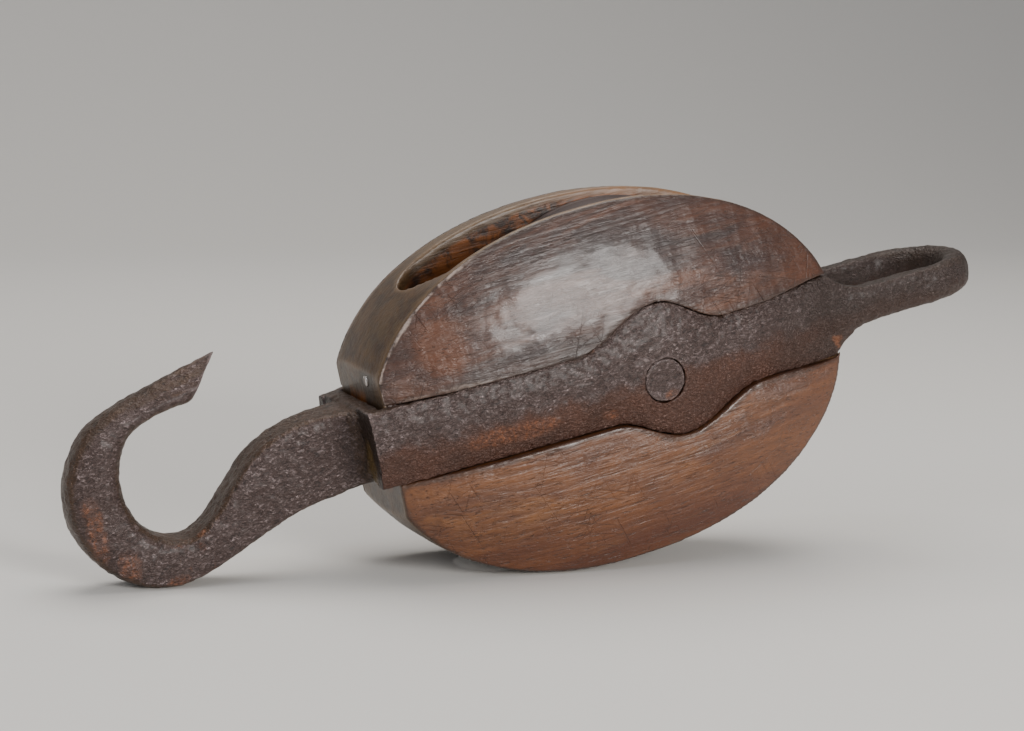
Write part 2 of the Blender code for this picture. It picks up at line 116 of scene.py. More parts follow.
# Rust: place x, y, z on the block, then reach along x and along z
STRAP_STAINS = [(-0.094, -0.052, -0.009, 0.034, 0.0060), (-0.036, -0.057, -0.015, 0.006, 0.0035),
                (0.058, 0.055, 0.012, 0.014, 0.0060)]
HOOK_STAINS = [(-0.331, -0.014, -0.006, 0.006, 0.0220), (-0.318, -0.014, -0.030, 0.007, 0.0090),
               (-0.294, -0.014, -0.046, 0.007, 0.0035), (-0.150, 0.030, 0.0, 0.030, 0.0100)]
PIN_STAINS = [(0.003, -0.057, -0.0135, 0.0055, 0.0035)]

# Worn pale wood with a painted sheen on the cheeks: place x, z, reach along x and along z, strength
SHEEN_AND_WEAR_SPOTS = [
    (-0.074, 0.050, 0.052, 0.026, 1.0), (-0.010, 0.060, 0.040, 0.020, 0.8),
    (-0.146, 0.034, 0.024, 0.012, 0.9), (0.035, 0.047, 0.070, 0.015, 0.85),
    (-0.015, 0.080, 0.050, 0.009, 0.55), (-0.020, -0.037, 0.065, 0.010, 0.8),
    (0.040, -0.047, 0.045, 0.011, 0.95), (0.085, -0.031, 0.035, 0.009, 0.8)]

# Colours of the iron, the cheeks, the core and the small pieces
IRON = {
    "patina_dark": (0.042, 0.021, 0.016),
    "patina_light": (0.070, 0.046, 0.042),
    "side_brown": (0.080, 0.036, 0.014),
    "side_dark": (0.028, 0.015, 0.009),
    # the two low colours are painted shade on the strap's lower half, in a red-brown rust tone
    "low_shade_dark": (0.030, 0.012, 0.007),
    "low_shade_red": (0.100, 0.034, 0.016),
    "tail": (0.022, 0.012, 0.008),
    # crown: painted shade on the crown's faces between the legs and the hook's root
    "crown": (0.018, 0.010, 0.007),
    # wax: a painted highlight on the fillets at the hook's root
    "wax": (0.150, 0.090, 0.022),
}
CHEEK = {
    "amber_dark": (0.085, 0.026, 0.007),
    "amber_light": (0.205, 0.080, 0.020),
    "amber_fibre": (0.050, 0.016, 0.006),
    "red_dark": (0.018, 0.008, 0.006),
    "red_light": (0.060, 0.020, 0.009),
    "red_streak": (0.105, 0.034, 0.011),
    "red_fibre": (0.028, 0.012, 0.009),
    "tail": (0.092, 0.028, 0.008),
    # the sheen colours are worn pale wood that also carries a painted sheen of the light
    "sheen_and_wear_dark": (0.060, 0.042, 0.042),
    "ruddy": (0.165, 0.052, 0.016),
    # bottom: painted shade where the cheek curves under
    "bottom": (0.065, 0.017, 0.007),
    "scratch": (0.030, 0.016, 0.012),
    "pore": (0.022, 0.010, 0.006),
    # crevice colours darken hollows and creases: dirt and painted shade
    "crevice_shade_and_dirt": (0.012, 0.007, 0.005),
    "edge": (0.030, 0.014, 0.008),
    # light arris colour: chipped wood and a painted highlight
    "chip_and_highlight": (0.36, 0.28, 0.24),
}
CORE = {
    "end_dark": (0.036, 0.017, 0.006),
    "end_light": (0.088, 0.043, 0.013),
    "wax": (0.110, 0.060, 0.019),
    "end_fibre": (0.026, 0.014, 0.006),
    "warm_dark": (0.075, 0.025, 0.008),
    "warm_light": (0.180, 0.066, 0.018),
    "lip": (0.195, 0.122, 0.066),
    "inside_dark": (0.020, 0.008, 0.003),
    "inside_light": (0.260, 0.082, 0.014),
    "inside_fibre": (0.040, 0.012, 0.004),
    "nail_stain": (0.018, 0.011, 0.006),
    # crevice colours darken hollows and creases: dirt and painted shade
    "crevice_shade_and_dirt": (0.012, 0.007, 0.005),
    "edge": (0.21, 0.13, 0.068),
    "pore": (0.024, 0.012, 0.006),
}
SMALL = {
    "lignum_dark": (0.024, 0.013, 0.011),
    "lignum_light": (0.052, 0.032, 0.028),
    "lignum_speck": (0.085, 0.060, 0.054),
    "gunmetal": (0.50, 0.34, 0.15),
    "tarnish": (0.120, 0.085, 0.045),
    "oak_dark": (0.28, 0.165, 0.075),
    "oak_light": (0.46, 0.31, 0.165),
    "nail": (0.62, 0.60, 0.58),
    "nail_rust": (0.10, 0.05, 0.025),
}


# ---------------------------------------------------------------- what a user can change
def length(name, description, default, low, high):
    return bpy.props.FloatProperty(
        name=name, description=description, default=default, min=low, max=high, unit="LENGTH")


def colour(name, description, default):
    return bpy.props.FloatVectorProperty(
        name=name, description=description, default=default, subtype="COLOR", size=3)


class ShellSizes(bpy.types.PropertyGroup):
    half_length: length("Half length", "Half the length of the shell's oval", 0.1510, 0.1, 0.2)
    half_height: length("Half depth", "Half the depth of the shell's oval", 0.1058, 0.05, 0.15)
    core_half_width: length(
        "Core half width", "From the middle plane to the cheek's joint", 0.0373, 0.02, 0.06)
    cheek_rise: length("Cheek rise", "Height of a cheek's dome over its edge", 0.0186, 0.005, 0.04)
    slot_half_width: length(
        "Slot half width", "Half the width of the slot for the sheave", 0.0205, 0.018, 0.03)


class IronSizes(bpy.types.PropertyGroup):
    leg_half_height: length(
        "Leg half height", "Half the height of the strap's leg away from the boss", 0.0225, 0.01, 0.04)
    leg_thickness: length("Leg thickness", "Thickness of the strap's leg", 0.0092, 0.005, 0.02)
    becket_half_width: length(
        "Becket half width", "Half the outer width of the becket eye", 0.0422, 0.03, 0.06)
    pin_radius: length("Pin radius", "Radius of the riveted pin", 0.0127, 0.008, 0.02)
    hammering: length("Hammering", "Depth of the forging's uneven surface", 0.0011, 0.0, 0.004)
    pitting: length("Pitting", "Depth of the corrosion pits", 0.00110, 0.0, 0.003)


class SheaveSizes(bpy.types.PropertyGroup):
    radius: length("Radius", "Outer radius of the sheave", 0.1016, 0.05, 0.15)
    half_width: length("Half width", "Half the sheave's width", 0.0170, 0.01, 0.02)
    groove_radius: length("Groove radius", "Radius of the rope groove", 0.0150, 0.005, 0.02)


class FinishColours(bpy.types.PropertyGroup):
    iron_dark: colour("Dark iron", "Iron in its hollows", (0.016, 0.010, 0.009))
    iron_bright: colour("Rubbed iron", "Iron on its high spots", (0.280, 0.220, 0.215))
    rust: colour("Rust", "Dry orange rust", (0.34, 0.11, 0.035))
    wood_amber: colour("Amber wood", "Elm where the oil is fresh", (0.145, 0.049, 0.011))
    # This worn-wood colour also stands in for the light's sheen on the cheeks: painted sheen.
    wood_sheen_and_wear: colour("Silvered wood", "Elm bleached and burnished by wear", (0.160, 0.116, 0.106))


# ---------------------------------------------------------------- small helpers
def block_place():
    """Turns and moves the block's own axes to where it rests."""
    pin = Vector(frame["joints"][0]["pos_m"])
    mounts = {mount["name"]: mount for mount in frame["record"]["mounts"]}
    along = mounts["becket_eye"]["axis"]
    turn = Matrix.Rotation(-math.atan2(along[2], along[0]), 4, "Y")
    return Matrix.Translation(pin - turn @ Vector((0, 0, PIN_Z))) @ turn


def ramp(x, start, end):
    """Smooth step from 0 at start to 1 at end."""
    t = min(max((x - start) / (end - start), 0.0), 1.0)
    return t * t * (3.0 - 2.0 * t)


def bump(x, lobe):
    """Raised cosine, 1 at the lobe's centre and 0 past its two reaches."""
    away = x - lobe["x"]
    reach = lobe["after"] if away > 0 else lobe["before"]
    if abs(away) >= reach:
        return 0.0
    return 0.5 + 0.5 * math.cos(math.pi * away / reach)


def deselect():
    if bpy.context.object and bpy.context.object.mode != "OBJECT":
        bpy.ops.object.mode_set(mode="OBJECT")
    bpy.ops.object.select_all(action="DESELECT")


def pick(*items):
    """Select these objects only, the first of them active."""
    deselect()
    for item in items:
        item.select_set(True)
    bpy.context.view_layer.objects.active = items[0]


def apply_modifier(item, kind, **settings):
    pick(item)
    step = item.modifiers.new(kind.lower(), kind)
    for name, value in settings.items():
        setattr(step, name, value)
    bpy.ops.object.modifier_apply(modifier=step.name)


def cut_away(item, cutter):
    apply_modifier(item, "BOOLEAN", operation="DIFFERENCE", object=cutter, solver="EXACT")
    bpy.data.objects.remove(cutter, do_unlink=True)


def weld(item, *others):
    pick(item, *others)
    bpy.ops.object.join()


def superellipse(angle, power):
    """Point on a unit oval; power 2 is a circle, more is squarer."""
    across, up = math.cos(angle), math.sin(angle)
    return (math.copysign(abs(across) ** (2.0 / power), across),
            math.copysign(abs(up) ** (2.0 / power), up))


def oval(power, count=SECTION_POINTS):
    """Points round a unit oval, none of them at the ends of its axes."""
    return [superellipse(2.0 * math.pi * (i + 0.5) / count, power) for i in range(count)]


def place_ring(item, before, section):
    """Move the selected ring's vertices from their place in one section to the next."""
    shape = bmesh.from_edit_mesh(item.data)
    ring = [vertex for vertex in shape.verts if vertex.select]
    for vertex in ring:
        nearest = min(range(len(before)), key=lambda k: (vertex.co - before[k]).length_squared)
        vertex.co = section[nearest]
    bmesh.update_edit_mesh(item.data)


def forge_bar(name, sections):
    """Extrude one face from section to section, each a list of equally many points."""
    sections = [[Vector(point) for point in section] for section in sections]
    deselect()
    bpy.ops.mesh.primitive_circle_add(vertices=len(sections[0]), fill_type="NGON")
    item = bpy.context.object
    item.name = name
    circle = [vertex.co.copy() for vertex in item.data.vertices]
    bpy.ops.object.mode_set(mode="EDIT")
    bpy.ops.mesh.select_mode(type="VERT")
    bpy.ops.mesh.select_all(action="SELECT")
    place_ring(item, circle, sections[0])
    for before, section in zip(sections, sections[1:]):
        bpy.ops.mesh.extrude_region_move()
        place_ring(item, before, section)
    bpy.ops.mesh.select_all(action="SELECT")
    bpy.ops.mesh.normals_make_consistent(inside=False)
    bpy.ops.object.mode_set(mode="OBJECT")
    return item


def round_bar(name, radius, start, end, vertices=96):
    start, end = Vector(start), Vector(end)
    along = end - start
    deselect()
    bpy.ops.mesh.primitive_cylinder_add(
        vertices=vertices, radius=radius, depth=along.length, location=(start + end) / 2,
        rotation=along.to_track_quat("Z", "Y").to_euler())
    item = bpy.context.object
    item.name = name
    bpy.ops.object.transform_apply(location=True, rotation=True, scale=True)
    return item


def even_out(item, voxel, rounds):
    """Rebuild the skin in small even faces and take the hardness off its edges."""
    pick(item)
    item.data.remesh_voxel_size = voxel
    item.data.remesh_voxel_adaptivity = 0.0
    item.data.use_remesh_fix_poles = False
    bpy.ops.object.voxel_remesh()
    apply_modifier(item, "SMOOTH", factor=0.5, iterations=rounds)


def mark_edges(item, reach, rounds=14):
    """Store how far each vertex stands out of its surroundings, from -1 to 1."""
    mesh = item.data
    count = len(mesh.vertices)
    points = np.zeros(count * 3)
    mesh.vertices.foreach_get("co", points)
    points = points.reshape(count, 3)
    ends = np.zeros(len(mesh.edges) * 2, dtype=np.int64)
    mesh.edges.foreach_get("vertices", ends)
    ends = ends.reshape(-1, 2)
    one, two = np.concatenate([ends[:, 0], ends[:, 1]]), np.concatenate([ends[:, 1], ends[:, 0]])
    friends = np.maximum(np.bincount(one, minlength=count), 1)
    soft = points.copy()
    for _ in range(rounds):
        total = [np.bincount(one, weights=soft[two, axis], minlength=count) for axis in range(3)]
        soft = np.stack(total, axis=1) / friends[:, None]
    normals = np.zeros(count * 3)
    mesh.vertex_normals.foreach_get("vector", normals)
    stand = np.sum((points - soft) * normals.reshape(count, 3), axis=1) / reach
    layer = mesh.attributes.new("edge", "FLOAT", "POINT")
    layer.data.foreach_set("value", np.clip(stand, -1.0, 1.0).astype(np.float32))


def weather(item, reach, *waves):
    """Raise the skin by textures, each (name, size, depth), and mark its edges."""
    for name, size, depth in waves:
        texture = bpy.data.textures.get(name) or bpy.data.textures.new(name, "CLOUDS")
        texture.noise_scale = size
        texture.noise_depth = 2
        apply_modifier(item, "DISPLACE", texture=texture, strength=depth, mid_level=0.5,
                       texture_coords="LOCAL", direction="NORMAL")
    mark_edges(item, reach)


def mark_facing(item):
    """Store which way each vertex faces, for the masks that tell a bar's flat from its sides."""
    mesh = item.data
    normals = np.zeros(len(mesh.vertices) * 3, dtype=np.float32)
    mesh.vertex_normals.foreach_get("vector", normals)
    layer = mesh.attributes.new("facing", "FLOAT_VECTOR", "POINT")
    layer.data.foreach_set("vector", normals)


def lay_down(item, body, slot, surface, *nodes):
    """Put a finished piece where the block rests, and let it ride on its body."""
    pick(item)
    item.matrix_world = block_place() @ item.matrix_world
    bpy.ops.object.transform_apply(location=True, rotation=True, scale=True)
    bpy.ops.object.shade_smooth()
    mark_facing(item)
    item.data.materials.clear()
    item.data.materials.append(surface)
    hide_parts(*nodes)
    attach(item, body)
    return item


# ---------------------------------------------------------------- shader helpers
def put(tree, kind, sockets=None, **settings):
    """Add a node, set its options, and feed or set its sockets."""
    node = tree.nodes.new(kind)
    for name, value in settings.items():
        setattr(node, name, value)
    for name, value in (sockets or {}).items():
        if isinstance(value, bpy.types.NodeSocket):
            tree.links.new(value, node.inputs[name])
        else:
            node.inputs[name].default_value = value
    return node


def noise(tree, vector, scale, detail=3.0, roughness=0.55, distortion=0.0):
    return put(tree, "ShaderNodeTexNoise", {
        "Vector": vector, "Scale": scale, "Detail": detail, "Roughness": roughness,
        "Distortion": distortion}).outputs["Fac"]


def stretch(tree, vector, scale, turn=(0, 0, 0), shift=(0, 0, 0)):
    return put(tree, "ShaderNodeMapping", {
        "Vector": vector, "Scale": scale, "Rotation": turn, "Location": shift}).outputs["Vector"]


def remap(tree, value, low, high, to_low=0.0, to_high=1.0, smooth=True):
    return put(tree, "ShaderNodeMapRange", {
        "Value": value, "From Min": low, "From Max": high, "To Min": to_low, "To Max": to_high},
        interpolation_type="SMOOTHSTEP" if smooth else "LINEAR", clamp=True).outputs["Result"]


def calc(tree, operation, first, second=0.0, third=0.0, clamp=False):
    node = tree.nodes.new("ShaderNodeMath")
    node.operation = operation
    node.use_clamp = clamp
    for socket, value in zip(node.inputs, (first, second, third)):
        if isinstance(value, bpy.types.NodeSocket):
            tree.links.new(value, socket)
        else:
            socket.default_value = value
    return node.outputs["Value"]


def times(tree, first, second):
    return calc(tree, "MULTIPLY", first, second)


def blend(tree, mask, first, second):
    """Mix two colours by a mask."""
    node = tree.nodes.new("ShaderNodeMix")
    node.data_type = "RGBA"
    node.clamp_factor = True
    for socket, value in ((node.inputs[0], mask), (node.inputs[6], first), (node.inputs[7], second)):
        if isinstance(value, bpy.types.NodeSocket):
            tree.links.new(value, socket)
        elif hasattr(value, "__len__"):
            socket.default_value = (*value[:3], 1.0)
        else:
            socket.default_value = value
    return node.outputs[2]


def tint(tree, base, mask, share, over):
    """Lay a share of one colour over the base where the mask is."""
    return blend(tree, times(tree, mask, share), base, over)


def new_group(name, inputs, outputs):
    """A shader node group with its sockets, and its two end nodes."""
    tree = bpy.data.node_groups.new(name, "ShaderNodeTree")
    kinds = {"vector": "NodeSocketVector", "value": "NodeSocketFloat"}
    for label, kind in inputs:
        tree.interface.new_socket(name=label, in_out="INPUT", socket_type=kinds[kind])
    for label, kind in outputs:
        tree.interface.new_socket(name=label, in_out="OUTPUT", socket_type=kinds[kind])
    return tree, tree.nodes.new("NodeGroupInput").outputs, tree.nodes.new("NodeGroupOutput").inputs


def use_group(tree, group, sockets):
    return put(tree, "ShaderNodeGroup", sockets, node_tree=group).outputs


def pitted_group():
    """Corrosion pits and hammer marks: a height, a mask of high spots and a mask of hollows."""
    name = "pitted surface"
    if name in bpy.data.node_groups:
        return bpy.data.node_groups[name]
    tree, given, out = new_group(
        name, [("Vector", "vector"), ("Pit size", "value"), ("Coarse", "value")],
        [("Height", "value"), ("High spots", "value"), ("Hollows", "value")])
    density = calc(tree, "DIVIDE", 1.0, given["Pit size"])
    coarse_density = calc(tree, "DIVIDE", density, 7.0)
    slanted = stretch(tree, given["Vector"], (1.0, 1.0, 1.7), turn=(0, math.radians(35), 0))
    grain = noise(tree, slanted, density, 3.0, 0.55, 0.8)
    cells = noise(tree, slanted, times(tree, density, 0.42), 2.0, 0.5, 0.6)
    broad = noise(tree, given["Vector"], coarse_density, 3.0, 0.5)
    fine = calc(tree, "MULTIPLY_ADD", cells, 0.50, times(tree, grain, 0.85))
    height = calc(tree, "MULTIPLY_ADD", broad, given["Coarse"], fine)
    tree.links.new(height, out["Height"])
    tree.links.new(remap(tree, fine, 0.68, 0.92), out["High spots"])
    tree.links.new(remap(tree, fine, 0.62, 0.48), out["Hollows"])
    return tree


def patches_group():
    """Soft-edged patches with ragged borders, such as rust bloom or wax."""
    name = "ragged patches"
    if name in bpy.data.node_groups:
        return bpy.data.node_groups[name]
    tree, given, out = new_group(
        name, [("Vector", "vector"), ("Size", "value"), ("Threshold", "value")],
        [("Mask", "value")])
    density = calc(tree, "DIVIDE", 1.0, given["Size"])
    broad = noise(tree, given["Vector"], density, 2.0, 0.5)
    ragged = noise(tree, given["Vector"], times(tree, density, 7.0), 5.0, 0.7)
    mixed = calc(tree, "MULTIPLY_ADD", ragged, 0.35, times(tree, broad, 0.75))
    upper = calc(tree, "ADD", given["Threshold"], 0.10)
    mask = put(tree, "ShaderNodeMapRange", {
        "Value": mixed, "From Min": given["Threshold"], "From Max": upper},
        interpolation_type="SMOOTHSTEP")
    tree.links.new(mask.outputs["Result"], out["Mask"])
    return tree


def grain_group():
    """Long wood grain along x: streaks, pores and fine fibres."""
    name = "wood grain"
    if name in bpy.data.node_groups:
        return bpy.data.node_groups[name]
    tree, given, out = new_group(
        name, [("Vector", "vector")],
        [("Streaks", "value"), ("Fibres", "value"), ("Pores", "value"), ("Height", "value")])
    drift = stretch(tree, given["Vector"], (5, 14, 22))
    bands = noise(tree, drift, 1.6, 4.0, 0.60, 0.9)
    long_fibres = noise(tree, stretch(tree, given["Vector"], (22, 330, 330)), 1.0, 4.0, 0.60, 0.25)
    pores = noise(tree, stretch(tree, given["Vector"], (75, 1100, 1100)), 1.0, 2.0, 0.5)
    pores = remap(tree, pores, 0.60, 0.74)
    fibres = remap(tree, long_fibres, 0.30, 0.72, smooth=False)
    height = calc(tree, "SUBTRACT", fibres, times(tree, pores, 0.8))
    for label, value in (("Streaks", bands), ("Fibres", fibres), ("Pores", pores), ("Height", height)):
        tree.links.new(value, out[label])
    return tree


def scratch_group():
    """Fine knocks and scratches that run in all directions."""
    name = "scratches"
    if name in bpy.data.node_groups:
        return bpy.data.node_groups[name]
    tree, given, out = new_group(name, [("Vector", "vector"), ("Amount", "value")], [("Mask", "value")])
    total = None
    for degrees, size in ((25, 95), (68, 120), (112, 80), (160, 140)):
        turned = stretch(tree, given["Vector"], (1, 1, 1), turn=(0, math.radians(degrees), 0))
        lines = noise(tree, stretch(tree, turned, (size * 0.14, size, size * 6.5)), 1.0, 2.0, 0.5, 0.35)
        lines = remap(tree, lines, 0.64, 0.74)
        total = lines if total is None else calc(tree, "MAXIMUM", total, lines)
    gate = remap(tree, noise(tree, given["Vector"], 16.0, 2.0), 0.42, 0.62)
    mask = times(tree, times(tree, total, gate), given["Amount"])
    tree.links.new(mask, out["Mask"])
    return tree


def coordinate(tree):
    return put(tree, "ShaderNodeTexCoord").outputs["Object"]


def stored(tree, name, kind="Fac"):
    """Read one of the piece's own attributes."""
    return put(tree, "ShaderNodeAttribute", attribute_name=name).outputs[kind]


def block_vector(tree):
    """Object coordinates turned back to the block's own axes."""
    back = block_place().inverted()
    coordinates = coordinate(tree)
    return stretch(tree, coordinates, (1, 1, 1), turn=back.to_euler(), shift=back.translation)


def split(tree, vector):
    return put(tree, "ShaderNodeSeparateXYZ", {"Vector": vector}).outputs


def facing_up(tree):
    """How squarely the surface faces away from the block's own axis, from 0 to 1."""
    normal = split(tree, stored(tree, "facing", "Vector"))
    return calc(tree, "SQRT", calc(tree, "SUBTRACT", 1.0, times(tree, normal["Y"], normal["Y"]),
                                   clamp=True))


def near_spot(tree, vector, centre, reach, ragged=0.35):
    """A soft oval mask round a place on the block, with an uneven border."""
    scale = [1.0 / size for size in reach]
    shift = [-place / size for place, size in zip(centre, reach)]
    local = stretch(tree, vector, scale, shift=shift)
    away = put(tree, "ShaderNodeVectorMath", {0: local}, operation="LENGTH").outputs["Value"]
    wobble = noise(tree, vector, 45.0, 5.0, 0.65)
    away = calc(tree, "ADD", away, calc(tree, "MULTIPLY_ADD", wobble, ragged * 2, -ragged))
    return remap(tree, away, 1.15, 0.55)


def new_surface(name):
    surface = bpy.data.materials.new(name)
    surface.use_nodes = True
    tree = surface.node_tree
    return surface, tree, tree.nodes["Principled BSDF"]


def dress(tree, shader, base, rough, height, depth, strength=1.0, coat=None):
    """Feed a surface its colour, roughness and relief, and set its clear coat's weight and roughness."""
    relief = put(tree, "ShaderNodeBump", {"Height": height, "Distance": depth, "Strength": strength})
    tree.links.new(base, shader.inputs["Base Color"])
    tree.links.new(rough, shader.inputs["Roughness"])
    tree.links.new(relief.outputs["Normal"], shader.inputs["Normal"])
    if coat:
        shader.inputs["Coat Weight"].default_value = coat[0]
        shader.inputs["Coat Roughness"].default_value = coat[1]


def paint_iron(name, bright_share, low_shade_red, stains):
    """Rusted and rubbed wrought iron, with rust at the given (x, y, z, reach x, reach z); with painted shade on
    the crown's faces and, when asked, on the lower half, and a painted highlight on the fillets at the hook's
    root.
    """
    colours = bpy.context.scene.block_finish
    surface, tree, shader = new_surface(name)
    vector = block_vector(tree)
    where = split(tree, vector)
    facing = split(tree, stored(tree, "facing", "Vector"))
    edge = stored(tree, "edge")
    pits = use_group(tree, pitted_group(), {"Vector": vector, "Pit size": PIT_COLOUR, "Coarse": 0.8})
    flat = remap(tree, calc(tree, "ABSOLUTE", facing["Y"]), 0.62, 0.93)
    cloudy = noise(tree, vector, 48.0, 4.0, 0.62)
    rubbed = times(tree, pits["High spots"], remap(tree, cloudy, 0.30, 0.62, bright_share * 0.45,
                                                              bright_share))
    rubbed = times(tree, rubbed, calc(tree, "MULTIPLY_ADD", flat, 0.86, 0.14))
    rubbed = calc(tree, "MAXIMUM", rubbed, remap(tree, edge, 0.25, 0.80, 0.0, 0.40))
    patina = blend(tree, cloudy, IRON["patina_dark"], IRON["patina_light"])
    side = blend(tree, noise(tree, vector, 60.0, 4.0, 0.6), IRON["side_brown"], IRON["side_dark"])
    base = blend(tree, flat, side, patina)
    base = tint(tree, base, pits["Hollows"], 0.75, tuple(colours.iron_dark))
    base = blend(tree, rubbed, base, tuple(colours.iron_bright))
    # Painted shade: the strap's lower half, whose lower facet faces down, is darkened in a red-brown rust tone in
    # place of a dark reflection; the tail end is made darker too.
    if low_shade_red:
        ragged = noise(tree, vector, 55.0, 5.0, 0.7)
        height = calc(tree, "ADD", where["Z"], calc(tree, "MULTIPLY_ADD", ragged, 0.028, -0.014))
        low = remap(tree, height, 0.0035, -0.0065)
        low_shade_colour = blend(tree, cloudy, IRON["low_shade_dark"], IRON["low_shade_red"])
        base = tint(tree, base, low, 0.84, low_shade_colour)
        tail = remap(tree, where["X"], 0.060, 0.125)
        base = tint(tree, base, tail, 0.66, IRON["tail"])
    # Painted shade: the crown's faces that face neither the sides nor up, in the recess between the legs and the
    # hook's root, are darkened.
    crown = remap(tree, where["X"], -0.160, -0.168)
    crown = times(tree, crown, remap(tree, calc(tree, "ABSOLUTE", facing["Y"]), 0.8, 0.4))
    crown = times(tree, crown, remap(tree, facing["Z"], 0.75, 0.45))
    crown = times(tree, crown, remap(tree, where["X"], -0.195, -0.180))
    base = tint(tree, base, crown, 0.75, IRON["crown"])
    # Painted highlight: a tall yellow-olive streak on the fillets at the hook's root, in the colour kept under the
    # key wax.
    olive = near_spot(tree, vector, (-0.176, -0.031, -0.010), (0.006, 0.007, 0.016))
    base = tint(tree, base, olive, 0.65, IRON["wax"])
    bloom = use_group(tree, patches_group(), {"Vector": vector, "Size": 0.030, "Threshold": 0.70})["Mask"]
    bloom = times(tree, bloom, 0.45)
    for x, y, z, reach_x, reach_z in stains:
        stain = near_spot(tree, vector, (x, y, z), (reach_x, 0.03, reach_z), 0.7)
        crumbs = remap(tree, noise(tree, vector, 430.0, 3.0, 0.7), 0.46, 0.64, 0.22, 1.0)
        stain = times(tree, stain, crumbs)
        bloom = calc(tree, "MAXIMUM", bloom, times(tree, stain, 0.46))
    bloom = times(tree, bloom, remap(tree, pits["Height"], 0.85, 1.15, 0.45, 1.0))
    base = blend(tree, bloom, base, tuple(colours.rust))
    metal = calc(tree, "MULTIPLY_ADD", rubbed, 0.50, 0.32)
    metal = calc(tree, "SUBTRACT", metal, times(tree, bloom, 0.30), clamp=True)
    tree.links.new(metal, shader.inputs["Metallic"])
    rough = remap(tree, pits["Height"], 0.7, 1.6, 0.46, 0.27, smooth=False)
    rough = calc(tree, "MULTIPLY_ADD", bloom, 0.30, rough)
    dress(tree, shader, base, rough, pits["Height"], 0.0024, coat=(0.15, 0.30))
    return surface


